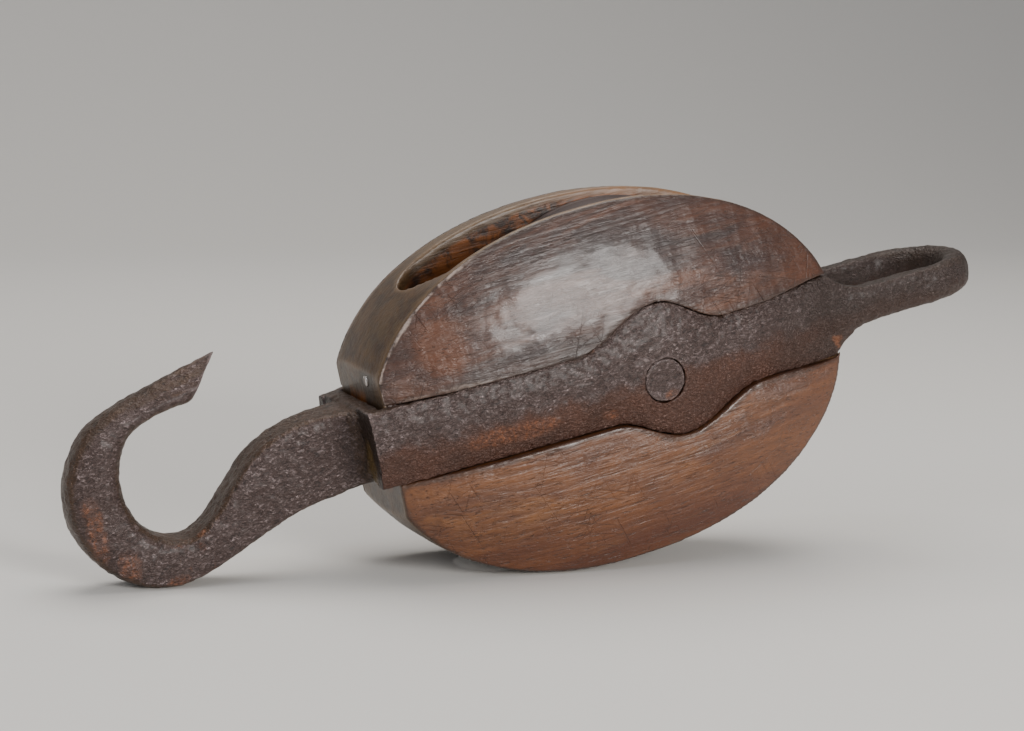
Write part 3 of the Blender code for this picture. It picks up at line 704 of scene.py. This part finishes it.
def paint_cheek():
    """Oiled elm: reddish above, amber below, worn pale patches with a painted sheen in the middle, painted shade
    towards the bottom and a painted highlight on the crown end's upper arris.
    """
    colours = bpy.context.scene.block_finish
    surface, tree, shader = new_surface("cheek_elm")
    vector = block_vector(tree)
    where = split(tree, vector)
    edge = stored(tree, "edge")
    grain = use_group(tree, grain_group(), {"Vector": vector})
    marks = use_group(tree, scratch_group(), {"Vector": vector, "Amount": 1.0})["Mask"]
    blotch = noise(tree, stretch(tree, vector, (11, 30, 34)), 1.0, 5.0, 0.66, 0.9)
    upper = remap(tree, calc(tree, "ADD", where["Z"], calc(tree, "MULTIPLY_ADD", blotch, 0.03, -0.015)),
                  -0.015, 0.010)
    amber = blend(tree, remap(tree, grain["Streaks"], 0.38, 0.64), CHEEK["amber_dark"],
                  tuple(colours.wood_amber))
    amber = blend(tree, times(tree, remap(tree, blotch, 0.50, 0.70), 0.6), amber, CHEEK["amber_light"])
    amber = blend(tree, remap(tree, grain["Fibres"], 0.0, 0.8, 0.55, 0.0), amber, CHEEK["amber_fibre"])
    red = blend(tree, remap(tree, blotch, 0.36, 0.66), CHEEK["red_dark"], CHEEK["red_light"])
    red = blend(tree, remap(tree, grain["Streaks"], 0.50, 0.66, 0.0, 0.65), red, CHEEK["red_streak"])
    red = blend(tree, remap(tree, grain["Fibres"], 0.0, 0.8, 0.55, 0.0), red, CHEEK["red_fibre"])
    base = blend(tree, upper, amber, red)
    tail = remap(tree, where["X"], 0.060, 0.115)
    base = tint(tree, base, tail, 0.40, CHEEK["tail"])
    ruddy = near_spot(tree, vector, (-0.128, 0.0, 0.050), (0.018, 0.2, 0.018), 0.7)
    # Painted sheen: the worn pale patches also stand in for the light's sheen on the cheeks' domes.
    sheen_and_wear = None
    for x, z, reach_x, reach_z, share in SHEEN_AND_WEAR_SPOTS:
        spot = times(tree, near_spot(tree, vector, (x, 0.0, z), (reach_x, 0.2, reach_z), 0.45), share)
        sheen_and_wear = spot if sheen_and_wear is None else calc(tree, "MAXIMUM", sheen_and_wear, spot)
    sheen_and_wear = times(tree, sheen_and_wear, remap(tree, grain["Fibres"], 0.0, 0.8, 0.15, 1.0))
    mottle = stretch(tree, vector, (48, 30, 90), turn=(0, math.radians(-20), 0))
    mottle = noise(tree, mottle, 1.0, 4.0, 0.65, 0.6)
    sheen_and_wear = times(tree, sheen_and_wear, remap(tree, mottle, 0.40, 0.64, 0.08, 1.0))
    sheen_and_wear_colour = blend(tree, remap(tree, grain["Streaks"], 0.40, 0.62), CHEEK["sheen_and_wear_dark"],
                          tuple(colours.wood_sheen_and_wear))
    base = tint(tree, base, sheen_and_wear, 0.62, sheen_and_wear_colour)
    base = tint(tree, base, ruddy, 0.4, CHEEK["ruddy"])
    # Painted shade: darker towards the bottom, where the cheek curves under.
    bottom = remap(tree, where["Z"], -0.060, -0.098)
    base = tint(tree, base, bottom, 0.60, CHEEK["bottom"])
    base = tint(tree, base, marks, 0.22, CHEEK["scratch"])
    base = tint(tree, base, grain["Pores"], 0.5, CHEEK["pore"])
    # Darker in hollows and creases: dirt there, and painted shade.
    base = blend(tree, remap(tree, edge, -0.15, -0.60, 0.0, 0.85), base, CHEEK["crevice_shade_and_dirt"])
    base = blend(tree, remap(tree, edge, 0.25, 0.75, 0.0, 0.60), base, CHEEK["edge"])
    # Light on the upper arris at the crown end: chipped wood and a painted highlight.
    chips_and_edge_highlight = times(tree, remap(tree, edge, 0.45, 0.90), remap(tree, where["X"], -0.085, -0.110))
    chips_and_edge_highlight = times(tree, chips_and_edge_highlight, remap(tree, where["Z"], 0.020, 0.032))
    chips_and_edge_highlight = times(tree, chips_and_edge_highlight, remap(tree, noise(tree, vector, 130.0, 3.0), 0.36, 0.55))
    base = tint(tree, base, chips_and_edge_highlight, 0.80, CHEEK["chip_and_highlight"])
    rough = calc(tree, "MULTIPLY_ADD", grain["Fibres"], 0.12, 0.36)
    rough = calc(tree, "MULTIPLY_ADD", sheen_and_wear, -0.10, rough)
    shaving = noise(tree, stretch(tree, vector, (105, 20, 26), turn=(0, math.radians(-12), 0)), 1.0, 2.0, 0.5)
    shaving = times(tree, shaving, calc(tree, "MULTIPLY_ADD", sheen_and_wear, 4.5, 2.0))
    relief = calc(tree, "SUBTRACT", grain["Height"], times(tree, marks, 0.8))
    dress(tree, shader, base, rough, calc(tree, "ADD", relief, shaving), 0.00048, coat=(0.30, 0.18))
    return surface


def paint_core():
    """Elm core: waxed olive-brown end, pale slot lips, orange-brown inner walls."""
    sizes = bpy.context.scene.block_shell
    surface, tree, shader = new_surface("core_elm")
    vector = block_vector(tree)
    where = split(tree, vector)
    edge = stored(tree, "edge")
    grain = use_group(tree, grain_group(), {"Vector": vector})
    wax = use_group(tree, patches_group(), {"Vector": vector, "Size": 0.018, "Threshold": 0.56})["Mask"]
    blotch = noise(tree, vector, 75.0, 5.0, 0.66, 0.4)
    outer = blend(tree, remap(tree, blotch, 0.36, 0.64), CORE["end_dark"], CORE["end_light"])
    outer = blend(tree, times(tree, wax, 0.50), outer, CORE["wax"])
    outer = blend(tree, remap(tree, grain["Fibres"], 0.0, 0.7, 0.45, 0.0), outer, CORE["end_fibre"])
    tail = remap(tree, where["X"], -0.060, 0.000)
    warm = blend(tree, remap(tree, grain["Streaks"], 0.38, 0.62), CORE["warm_dark"], CORE["warm_light"])
    outer = blend(tree, tail, outer, warm)
    pale = remap(tree, where["X"], -0.125, -0.085)
    lip = remap(tree, calc(tree, "ABSOLUTE", where["Y"]), 0.0195, 0.0225)
    mouth = times(tree, times(tree, lip, pale), remap(tree, facing_up(tree), 0.25, 0.6))
    outer = blend(tree, times(tree, mouth, 0.50), outer, CORE["lip"])
    inside = blend(tree, remap(tree, blotch, 0.36, 0.52), CORE["inside_dark"], CORE["inside_light"])
    inside = blend(tree, remap(tree, grain["Fibres"], 0.0, 0.7, 0.5, 0.0), inside, CORE["inside_fibre"])
    reach = (1.0 / sizes.half_length, 0.0, 1.0 / sizes.half_height)
    local = stretch(tree, vector, reach, shift=(-SHELL_X * reach[0], 0.0, -SHELL_Z * reach[2]))
    away = put(tree, "ShaderNodeVectorMath", {0: local}, operation="LENGTH").outputs["Value"]
    within = times(tree, remap(tree, calc(tree, "ABSOLUTE", where["Y"]), 0.0222, 0.0208),
                  remap(tree, away, 0.985, 0.955))
    base = blend(tree, within, outer, inside)
    nail_stain = near_spot(tree, vector, (-0.164, -0.015, 0.031), (0.02, 0.012, 0.014), 0.5)
    base = tint(tree, base, nail_stain, 0.7, CORE["nail_stain"])
    # Darker in hollows and creases: dirt there, and painted shade.
    base = blend(tree, remap(tree, edge, -0.15, -0.60, 0.0, 0.85), base, CORE["crevice_shade_and_dirt"])
    base = blend(tree, remap(tree, edge, 0.30, 0.85, 0.0, 0.35), base, CORE["edge"])
    base = tint(tree, base, grain["Pores"], 0.5, CORE["pore"])
    rough = calc(tree, "MULTIPLY_ADD", grain["Fibres"], 0.14, 0.38)
    relief = calc(tree, "MULTIPLY_ADD", blotch, 1.6, grain["Height"])
    dress(tree, shader, base, rough, relief, 0.00026, coat=(0.25, 0.30))
    return surface


def paint_sheave():
    """Lignum vitae, dark and close-grained."""
    surface, tree, shader = new_surface("sheave_lignum")
    coordinates = coordinate(tree)
    speck = noise(tree, coordinates, 900.0, 3.0, 0.6)
    bands = noise(tree, stretch(tree, coordinates, (60, 8, 60)), 1.0, 4.0, 0.6, 0.5)
    base = blend(tree, remap(tree, bands, 0.35, 0.65), SMALL["lignum_dark"], SMALL["lignum_light"])
    base = blend(tree, remap(tree, speck, 0.55, 0.75, 0.0, 0.5), base, SMALL["lignum_speck"])
    dress(tree, shader, base, remap(tree, bands, 0.3, 0.7, 0.42, 0.60), speck, 0.00015, 0.8)
    return surface


def paint_gunmetal():
    surface, tree, shader = new_surface("bush_gunmetal")
    coordinates = coordinate(tree)
    tarnish = use_group(tree, patches_group(), {
        "Vector": coordinates, "Size": 0.012, "Threshold": 0.50})["Mask"]
    base = blend(tree, times(tree, tarnish, 0.7), SMALL["gunmetal"], SMALL["tarnish"])
    shader.inputs["Metallic"].default_value = 1.0
    turning = noise(tree, stretch(tree, coordinates, (400, 40, 400)), 1.0)
    dress(tree, shader, base, remap(tree, tarnish, 0.0, 1.0, 0.28, 0.55), turning, 0.00008, 0.7)
    return surface


def paint_dowel():
    surface, tree, shader = new_surface("dowel_oak")
    grain = use_group(tree, grain_group(), {
        "Vector": stretch(tree, coordinate(tree), (1, 1, 1),
                          turn=(0, 0, math.radians(90)))})
    base = blend(tree, grain["Fibres"], SMALL["oak_dark"], SMALL["oak_light"])
    rough = remap(tree, grain["Fibres"], 0.0, 1.0, 0.70, 0.58)
    dress(tree, shader, base, rough, grain["Height"], 0.0001, 0.8)
    return surface


def paint_nail():
    surface, tree, shader = new_surface("nail_steel")
    coordinates = coordinate(tree)
    rust = use_group(tree, patches_group(), {"Vector": coordinates, "Size": 0.003, "Threshold": 0.52})["Mask"]
    base = blend(tree, times(tree, rust, 0.6), SMALL["nail"], SMALL["nail_rust"])
    shader.inputs["Metallic"].default_value = 0.9
    rough = remap(tree, rust, 0.0, 1.0, 0.25, 0.60)
    dress(tree, shader, base, rough, noise(tree, coordinates, 1500.0), 0.0001, 0.8)
    return surface


# ---------------------------------------------------------------- shell shapes
def shell_ring(y, scale=1.0, grow=0.0):
    """The shell's oval at y, flat at the crown end."""
    sizes = bpy.context.scene.block_shell
    ring = []
    for across, up in oval(SHELL_POWER, 200):
        x = max(across * (sizes.half_length + grow), CROWN_FACE_X + GAP - SHELL_X)
        z = up * (sizes.half_height + grow)
        ring.append((SHELL_X + scale * x, y, SHELL_Z + scale * z))
    return ring


def slot_cutter():
    """A long slot with rounded ends, open above and below."""
    half = bpy.context.scene.block_shell.slot_half_width
    outline = []
    for end_x, rounding, first in ((SLOT_TAIL_X - SLOT_TAIL_ROUND, SLOT_TAIL_ROUND, -0.5),
                                   (SLOT_HEAD_X + SLOT_HEAD_ROUND, SLOT_HEAD_ROUND, 0.5)):
        for i in range(17):
            angle = math.pi * (first + i / 16)
            outline.append((end_x + rounding * math.cos(angle), half * math.sin(angle)))
    return forge_bar("slot_tool", [[(x, y, z) for x, y in outline] for z in (-0.2, 0.2)])


def wear_lip(core):
    """Rope wear: the mouth's near lip slopes down into the slot, most at the crown end."""
    sizes = bpy.context.scene.block_shell
    for vertex in core.data.vertices:
        x, y, z = vertex.co
        if y > 0 or z < 0:
            continue
        across, up = (x - SHELL_X) / sizes.half_length, (z - SHELL_Z) / sizes.half_height
        share = (abs(across) ** SHELL_POWER + abs(up) ** SHELL_POWER) ** (1 / SHELL_POWER)
        radial = Vector((x - SHELL_X, 0.0, z - SHELL_Z))
        depth = max(1.0 - share, 0.0) * radial.length
        amount = LIP_WEAR[0] + (LIP_WEAR[1] - LIP_WEAR[0]) * ramp(x, -0.095, 0.020)
        amount *= ramp(x, SLOT_HEAD_X, -0.105) * (1.0 - ramp(x, 0.085, 0.110))
        amount *= 1.0 - ramp(-y, sizes.slot_half_width, sizes.core_half_width - 0.001)
        vertex.co -= radial.normalized() * amount * max(1.0 - depth / LIP_WEAR_REACH, 0.0)


def pin_hole(radius):
    return round_bar("pin_tool", radius, (0, -0.1, PIN_Z), (0, 0.1, PIN_Z))


# ---------------------------------------------------------------- strap shapes
def leg_outer(x):
    """Distance of the leg's outer face from the middle plane."""
    half = bpy.context.scene.block_iron.becket_half_width
    if x <= 0:
        return BOSS_FACE_Y - 0.0118 * (x / CROWN_OUTER_X) ** 1.6
    return BOSS_FACE_Y - (BOSS_FACE_Y - half) * min(x / TAIL_X, 1.0) ** 1.8


def leg_thickness(x):
    thin = bpy.context.scene.block_iron.leg_thickness
    return thin + 0.0015 * bump(x, BOSS_TOP) + (BECKET_BAR - thin) * ramp(x, 0.095, 0.140)


def leg_edge(x, lobe):
    height = bpy.context.scene.block_iron.leg_half_height
    height += lobe["rise"] * bump(x, lobe) + 0.003 * ramp(x, 0.070, 0.120)
    if x > TAIL_X:
        left = max(1.0 - (x - TAIL_X) / 0.029, 0.0) ** 2
        height = BECKET_HALF_HEIGHT + (height - BECKET_HALF_HEIGHT) * left
    return height


def strap_section(inner, outer, top, bottom, crest):
    """(distance, z) points: sides rounded over, outer face ridged at about half height."""
    depth = outer - inner
    middle, half = (top - bottom) / 2, (top + bottom) / 2
    points = []
    for across, up in oval(6.0):
        away = inner + depth * (0.5 + 0.5 * across)
        if across > 0:
            lean = up + 0.06
            away += (crest * (1.0 - abs(lean)) - (0.0036 if lean < 0 else 0.0014) * abs(lean)) * across
        points.append((away, middle + half * up))
    return points


def leg_sections(side, step=0.003):
    """From the crown's corner, where the leg turns in over the crown bar, to the becket."""
    start = CROWN_OUTER_X - (0.0028 if side > 0 else 0.0)
    count = int((LEG_END_X - start) / step)
    sections = []
    for i in range(count + 1):
        x = start + (LEG_END_X - start) * i / count
        spot = max(x, CROWN_OUTER_X)
        outer = leg_outer(spot)
        corner = 1.0 - ramp(x, CROWN_FACE_X - 0.004, CROWN_FACE_X + 0.002)
        inner = outer - leg_thickness(spot) - 0.0045 * corner
        lug = (1.0 - ramp(x, start, -0.140)) if side > 0 else 0.0
        crest = 0.0012 + 0.0016 * bump(x, BOSS_TOP) if x < TAIL_X else 0.0012 * (1 - ramp(x, TAIL_X, 0.15))
        section = strap_section(inner, outer - 0.0020 * lug, leg_edge(spot, BOSS_TOP) - 0.0015 * lug,
                                leg_edge(spot, BOSS_BOTTOM) - 0.0020 * lug, crest)
        sections.append([(x, side * away, z) for away, z in section])
    return sections


def becket_sections():
    """Round the becket's half circle from the near side to the far side."""
    half = bpy.context.scene.block_iron.becket_half_width
    centre_x = BECKET_END_X - half
    sections = []
    for i in range(33):
        turn = math.pi * i / 32
        thick = BECKET_BAR + 0.0036 * math.sin(turn)
        section = []
        for across, up in oval(2.4):
            away = half - thick * (0.5 - 0.5 * across)
            section.append((centre_x + away * math.sin(turn), -away * math.cos(turn),
                            BECKET_HALF_HEIGHT * up))
        sections.append(section)
    return sections


def score_tool(side):
    """The leg's shape with clearance, run out through the cheek's face and crown end."""
    sections = []
    for i in range(61):
        x = -0.190 + 0.376 * i / 60
        spot = max(x, CROWN_FACE_X)
        far = leg_outer(spot) + 0.03
        inner = leg_outer(spot) - leg_thickness(spot) - GAP
        top = leg_edge(spot, BOSS_TOP) + SCORE_PLAY
        bottom = leg_edge(spot, BOSS_BOTTOM) + SCORE_PLAY
        section = [(inner, -bottom), (inner, top), (far, top), (far, -bottom)]
        sections.append([(x, side * away, z) for away, z in section])
    return forge_bar("score_tool", sections)


# ---------------------------------------------------------------- hook shapes
def spline(values, t):
    """Catmull-Rom value at t, counted in ribs from the first."""
    i = min(int(t), len(values) - 2)
    before, start = values[max(i - 1, 0)], values[i]
    end, after = values[i + 1], values[min(i + 2, len(values) - 1)]
    t = t - i
    return 0.5 * ((2 * start) + (end - before) * t + (2 * before - 5 * start + 4 * end - after) * t * t
                  + (3 * start - before - 3 * end + after) * t ** 3)


def hook_sections(steps=7):
    """The hook's bar; near the tip its outer side is forged to a roof."""
    columns = list(zip(*[(*inner, *outer, *rest) for inner, outer, *rest in HOOK_RIBS]))
    sections = []
    for i in range((len(HOOK_RIBS) - 1) * steps + 1):
        in_x, in_z, out_x, out_z, half, power, share = [spline(column, i / steps) for column in columns]
        middle = Vector((in_x + out_x, in_z + out_z)) / 2
        reach = Vector((out_x - in_x, out_z - in_z)) / 2
        section = []
        for across, up in oval(power):
            spot = middle + reach * across
            taper = 1.0 - (1.0 - share) * ramp(across, -0.35, 1.0)
            section.append((spot.x, half * up * taper, spot.y))
        sections.append(section)
    return sections


def trim_tip(hook):
    """Cut the tip's end face back on the near side."""
    inner, outer, half = HOOK_RIBS[0][:3]
    behind = HOOK_RIBS[1][0]
    back = Vector((behind[0] - inner[0], 0.0, behind[1] - inner[1])).normalized()
    apex = Vector((outer[0], 0.0, outer[1]))
    far_corner = Vector((inner[0], half, inner[1]))
    near_corner = Vector((inner[0], -half, inner[1])) + back * TIP_SLANT
    facing = (near_corner - apex).cross(far_corner - apex).normalized()
    pick(hook)
    bpy.ops.object.mode_set(mode="EDIT")
    bpy.ops.mesh.select_mode(type="FACE")
    bpy.ops.mesh.select_all(action="DESELECT")
    shape = bmesh.from_edit_mesh(hook.data)
    for face in shape.faces:
        face.select_set(min(vertex.co.z for vertex in face.verts) > TIP_LOW_Z)
    bmesh.update_edit_mesh(hook.data)
    bpy.ops.mesh.bisect(plane_co=apex, plane_no=facing, use_fill=True, clear_outer=True)
    bpy.ops.object.mode_set(mode="OBJECT")


def crown_sections():
    """The crown bar between the legs, let into their corners."""
    end = leg_outer(CROWN_OUTER_X) - 0.0065
    sections = []
    for i in range(21):
        share = -1.0 + i / 10
        sunk = 0.0009 * ramp(abs(share), 0.75, 1.0)
        front = CROWN_OUTER_X - 0.0024 * ramp(share, 0.25, 0.60)
        middle = (front + CROWN_FACE_X) / 2
        half_x = (CROWN_FACE_X - front) / 2 - sunk
        section = []
        for across, up in oval(6.0):
            section.append((middle + half_x * across, share * end, (0.0222 - sunk) * up))
        sections.append(section)
    return sections


# ---------------------------------------------------------------- operators
class BLOCK_OT_core(bpy.types.Operator):
    """Make the shell's core with its slot"""
    bl_idname = "block.core"
    bl_label = "Core"

    def execute(self, context):
        half = context.scene.block_shell.core_half_width
        rings = []
        for i in range(17):
            share = -1.0 + i / 8
            rings.append(shell_ring(share * half, grow=0.0015 * (1.0 - share * share)))
        core = forge_bar("shell_core_wood", rings)
        cut_away(core, slot_cutter())
        cut_away(core, pin_hole(PIN_HOLE))
        for side in (-1, 1):
            cut_away(core, score_tool(side))
        even_out(core, 0.0018, 3)
        wear_lip(core)
        weather(core, 0.0008, ("wood_waves", 0.045, 0.0010), ("wood_dents", 0.012, 0.0003))
        lay_down(core, "block", "elm", paint_core(), "shell_core")
        return {"FINISHED"}


class BLOCK_OT_cheeks(bpy.types.Operator):
    """Make the two domed cheeks"""
    bl_idname = "block.cheeks"
    bl_label = "Cheeks"

    def execute(self, context):
        surface = paint_cheek()
        for side, node in ((-1, "near_cheek"), (1, "far_cheek")):
            self.cheek(context.scene.block_shell, side, node, surface)
        return {"FINISHED"}

    def cheek(self, sizes, side, node, surface):
        back = sizes.core_half_width + GAP
        rings = [shell_ring(side * back), shell_ring(side * (back + 0.0012))]
        for i in range(1, 31):
            scale = math.cos(math.pi / 2 * i / 30.5)
            rise = 0.0012 + sizes.cheek_rise * (1.0 - scale ** 3.0)
            rings.append(shell_ring(side * (back + rise), scale))
        cheek = forge_bar(node + "_wood", rings)
        cut_away(cheek, score_tool(side))
        cut_away(cheek, pin_hole(PIN_HOLE))
        even_out(cheek, 0.0013, 3)
        weather(cheek, 0.0007, ("wood_waves", 0.045, 0.0012), ("wood_dents", 0.012, 0.0004))
        lay_down(cheek, "block", "elm", surface, node)


class BLOCK_OT_strap(bpy.types.Operator):
    """Forge the strap with its bosses and becket eye"""
    bl_idname = "block.strap"
    bl_label = "Strap"

    def execute(self, context):
        sizes = context.scene.block_iron
        sections = leg_sections(-1) + becket_sections() + leg_sections(1)[::-1]
        strap = forge_bar("strap_forging", sections)
        cut_away(strap, pin_hole(sizes.pin_radius + 0.0004))
        even_out(strap, 0.00105, 4)
        weather(strap, 0.0012, ("hammer_marks", HAMMER_RELIEF, sizes.hammering),
                ("pits", PIT_RELIEF, sizes.pitting))
        lay_down(strap, "block", "forged_iron", paint_iron("strap_iron", 0.75, True, STRAP_STAINS), "strap")
        return {"FINISHED"}


class BLOCK_OT_hook(bpy.types.Operator):
    """Forge the hook with its crown bar"""
    bl_idname = "block.hook"
    bl_label = "Hook"

    def execute(self, context):
        sizes = context.scene.block_iron
        hook = forge_bar("hook_forging", hook_sections())
        trim_tip(hook)
        weld(hook, forge_bar("crown_part", crown_sections()))
        even_out(hook, 0.0009, 4)
        weather(hook, 0.0011, ("hammer_marks", HAMMER_RELIEF, sizes.hammering),
                ("pits", PIT_RELIEF, sizes.pitting))
        lay_down(hook, "block", "forged_iron", paint_iron("hook_iron", 0.95, False, HOOK_STAINS), "hook")
        return {"FINISHED"}


class BLOCK_OT_pin(bpy.types.Operator):
    """Make the riveted pin"""
    bl_idname = "block.pin"
    bl_label = "Pin"

    def execute(self, context):
        radius = context.scene.block_iron.pin_radius
        pin = round_bar("pin_rivet", radius, (0, -PIN_END_Y, PIN_Z), (0, PIN_END_Y, PIN_Z))
        apply_modifier(pin, "BEVEL", width=0.0012, segments=3, limit_method="ANGLE")
        even_out(pin, 0.0008, 2)
        weather(pin, 0.0010, ("pits", PIT_RELIEF, 0.0006))
        lay_down(pin, "block", "forged_iron", paint_iron("pin_iron", 0.75, False, PIN_STAINS), "pin")
        return {"FINISHED"}


class BLOCK_OT_sheave(bpy.types.Operator):
    """Turn the sheave and its bush"""
    bl_idname = "block.sheave"
    bl_label = "Sheave and bush"

    def execute(self, context):
        sizes = context.scene.block_sheave
        half = sizes.half_width
        sheave = round_bar("sheave_turned", sizes.radius, (0, -half, PIN_Z), (0, half, PIN_Z), 192)
        deselect()
        bpy.ops.mesh.primitive_torus_add(
            major_radius=sizes.radius + 0.0090, minor_radius=sizes.groove_radius, major_segments=192,
            minor_segments=64, location=(0, 0, PIN_Z), rotation=(math.radians(90), 0, 0))
        cut_away(sheave, bpy.context.object)
        cut_away(sheave, round_bar("bush_tool", 0.0193, (0, -0.03, PIN_Z), (0, 0.03, PIN_Z)))
        apply_modifier(sheave, "BEVEL", width=0.0010, segments=3, limit_method="ANGLE",
                       angle_limit=math.radians(35))
        lay_down(sheave, "wheel", "lignum_vitae", paint_sheave(), "sheave")
        apply_modifier(sheave, "WEIGHTED_NORMAL")
        bush = round_bar("bush_turned", 0.0190, (0, -0.0192, PIN_Z), (0, 0.0192, PIN_Z))
        cut_away(bush, pin_hole(PIN_HOLE))
        apply_modifier(bush, "BEVEL", width=0.0005, segments=2, limit_method="ANGLE")
        lay_down(bush, "wheel", "gunmetal", paint_gunmetal(), "sheave_bush")
        apply_modifier(bush, "WEIGHTED_NORMAL")
        return {"FINISHED"}


class BLOCK_OT_nail(bpy.types.Operator):
    """Make the nail in the crown end"""
    bl_idname = "block.nail"
    bl_label = "Crown nail"

    def execute(self, context):
        face = CROWN_FACE_X + GAP
        head, neck, point = [(face + along, NAIL_Y, NAIL_Z) for along in (-0.0006, 0.0009, 0.0214)]
        nail = round_bar("nail_forged", 0.0034, head, neck, 32)
        stem = round_bar("nail_stem", 0.0014, neck, point, 24)
        apply_modifier(nail, "BEVEL", width=0.0005, segments=3, limit_method="ANGLE")
        weld(nail, stem)
        lay_down(nail, "block", "nail_iron", paint_nail(), "crown_nail")
        return {"FINISHED"}


class BLOCK_OT_dowels(bpy.types.Operator):
    """Give the hidden dowels their wood"""
    bl_idname = "block.dowels"
    bl_label = "Dowels"

    def execute(self, context):
        surface = paint_dowel()
        for name, node in frame["nodes"].items():
            if "dowel" in name:
                node.data.materials[0] = surface
        return {"FINISHED"}


class BLOCK_OT_stage(bpy.types.Operator):
    """Set the floor, the lights and the camera"""
    bl_idname = "block.stage"
    bl_label = "Stage"

    def execute(self, context):
        self.floor()
        self.light("window", 0.85, 46.0, (0.52, -1.95, 0.62), (1.0, 0.98, 0.95))
        self.light("side", 1.2, 14.0, (-2.1, -0.9, 1.5), (0.93, 0.96, 1.0))
        self.light("ceiling", 2.4, 60.0, (0.1, 0.6, 2.6), (1.0, 0.97, 0.93))
        world = bpy.data.worlds.new("studio")
        world.use_nodes = True
        world.node_tree.nodes["Background"].inputs["Color"].default_value = (0.93, 0.95, 1.0, 1.0)
        world.node_tree.nodes["Background"].inputs["Strength"].default_value = 0.30
        context.scene.world = world
        self.camera(context.scene)
        return {"FINISHED"}

    def floor(self):
        """A floor that curves up into a wall behind the block."""
        deselect()
        bpy.ops.mesh.primitive_plane_add(size=24.0, location=(0, -8.0, 0))
        floor = bpy.context.object
        floor.name = "floor"
        bpy.ops.object.transform_apply(location=True)
        bpy.ops.object.mode_set(mode="EDIT")
        bpy.ops.mesh.select_mode(type="EDGE")
        bpy.ops.mesh.select_all(action="DESELECT")
        shape = bmesh.from_edit_mesh(floor.data)
        for line in shape.edges:
            line.select_set(min(vertex.co.y for vertex in line.verts) > 3.0)
        bmesh.update_edit_mesh(floor.data)
        bpy.ops.mesh.extrude_region_move(TRANSFORM_OT_translate={"value": (0, 0, 5.0)})
        bpy.ops.object.mode_set(mode="OBJECT")
        apply_modifier(floor, "BEVEL", width=2.2, segments=24, limit_method="ANGLE")
        bpy.ops.object.shade_smooth()
        surface, tree, shader = new_surface("pale_floor")
        shader.inputs["Base Color"].default_value = (0.66, 0.64, 0.61, 1.0)
        shader.inputs["Roughness"].default_value = 0.85
        floor.data.materials.append(surface)

    def light(self, name, size, power, place, colour):
        lamp = bpy.data.lights.new(name, "AREA")
        lamp.shape = "DISK"
        lamp.size = size
        lamp.energy = power
        lamp.color = colour
        item = bpy.data.objects.new(name, lamp)
        item.location = place
        item.rotation_euler = (Vector(place) - Vector((0, 0, 0.1))).to_track_quat("Z", "Y").to_euler()
        bpy.context.scene.collection.objects.link(item)

    def camera(self, scene):
        lens = bpy.data.cameras.new("camera")
        lens.lens = CAMERA_LENS
        lens.sensor_width = 36.0
        item = bpy.data.objects.new("camera", lens)
        scene.collection.objects.link(item)
        azimuth, elevation, roll = CAMERA_TURN
        turn = (Matrix.Rotation(math.radians(azimuth), 4, "Z")
                @ Matrix.Rotation(math.radians(90 - elevation), 4, "X")
                @ Matrix.Rotation(math.radians(roll), 4, "Z"))
        aim = block_place().translation + Vector(CAMERA_AIM)
        item.matrix_world = Matrix.Translation(aim + turn.col[2].to_3d() * CAMERA_DISTANCE) @ turn
        scene.camera = item


MAKERS = (BLOCK_OT_core, BLOCK_OT_cheeks, BLOCK_OT_strap, BLOCK_OT_hook, BLOCK_OT_pin, BLOCK_OT_sheave,
          BLOCK_OT_nail, BLOCK_OT_dowels, BLOCK_OT_stage)
GROUPS = {"block_shell": ShellSizes, "block_iron": IronSizes, "block_sheave": SheaveSizes,
          "block_finish": FinishColours}


class BLOCK_PT_panel(bpy.types.Panel):
    """Lists the block's sizes, colours and makers"""
    bl_idname = "BLOCK_PT_panel"
    bl_label = "Pulley block"
    bl_space_type = "VIEW_3D"
    bl_region_type = "UI"
    bl_category = "Block"

    def draw(self, context):
        for name, group in GROUPS.items():
            box = self.layout.box()
            for label in group.__annotations__:
                box.prop(getattr(context.scene, name), label)
        for maker in MAKERS:
            self.layout.operator(maker.bl_idname)


def register():
    for group in GROUPS.values():
        bpy.utils.register_class(group)
    for name, group in GROUPS.items():
        setattr(bpy.types.Scene, name, bpy.props.PointerProperty(type=group))
    for part in (*MAKERS, BLOCK_PT_panel):
        bpy.utils.register_class(part)


def unregister():
    for part in (BLOCK_PT_panel, *reversed(MAKERS)):
        bpy.utils.unregister_class(part)
    for name, group in GROUPS.items():
        delattr(bpy.types.Scene, name)
        bpy.utils.unregister_class(group)


def main():
    register()
    bpy.ops.block.core()
    bpy.ops.block.cheeks()
    bpy.ops.block.strap()
    bpy.ops.block.hook()
    bpy.ops.block.pin()
    bpy.ops.block.sheave()
    bpy.ops.block.nail()
    bpy.ops.block.dowels()
    bpy.ops.block.stage()


if __name__ == "__main__":
    main()
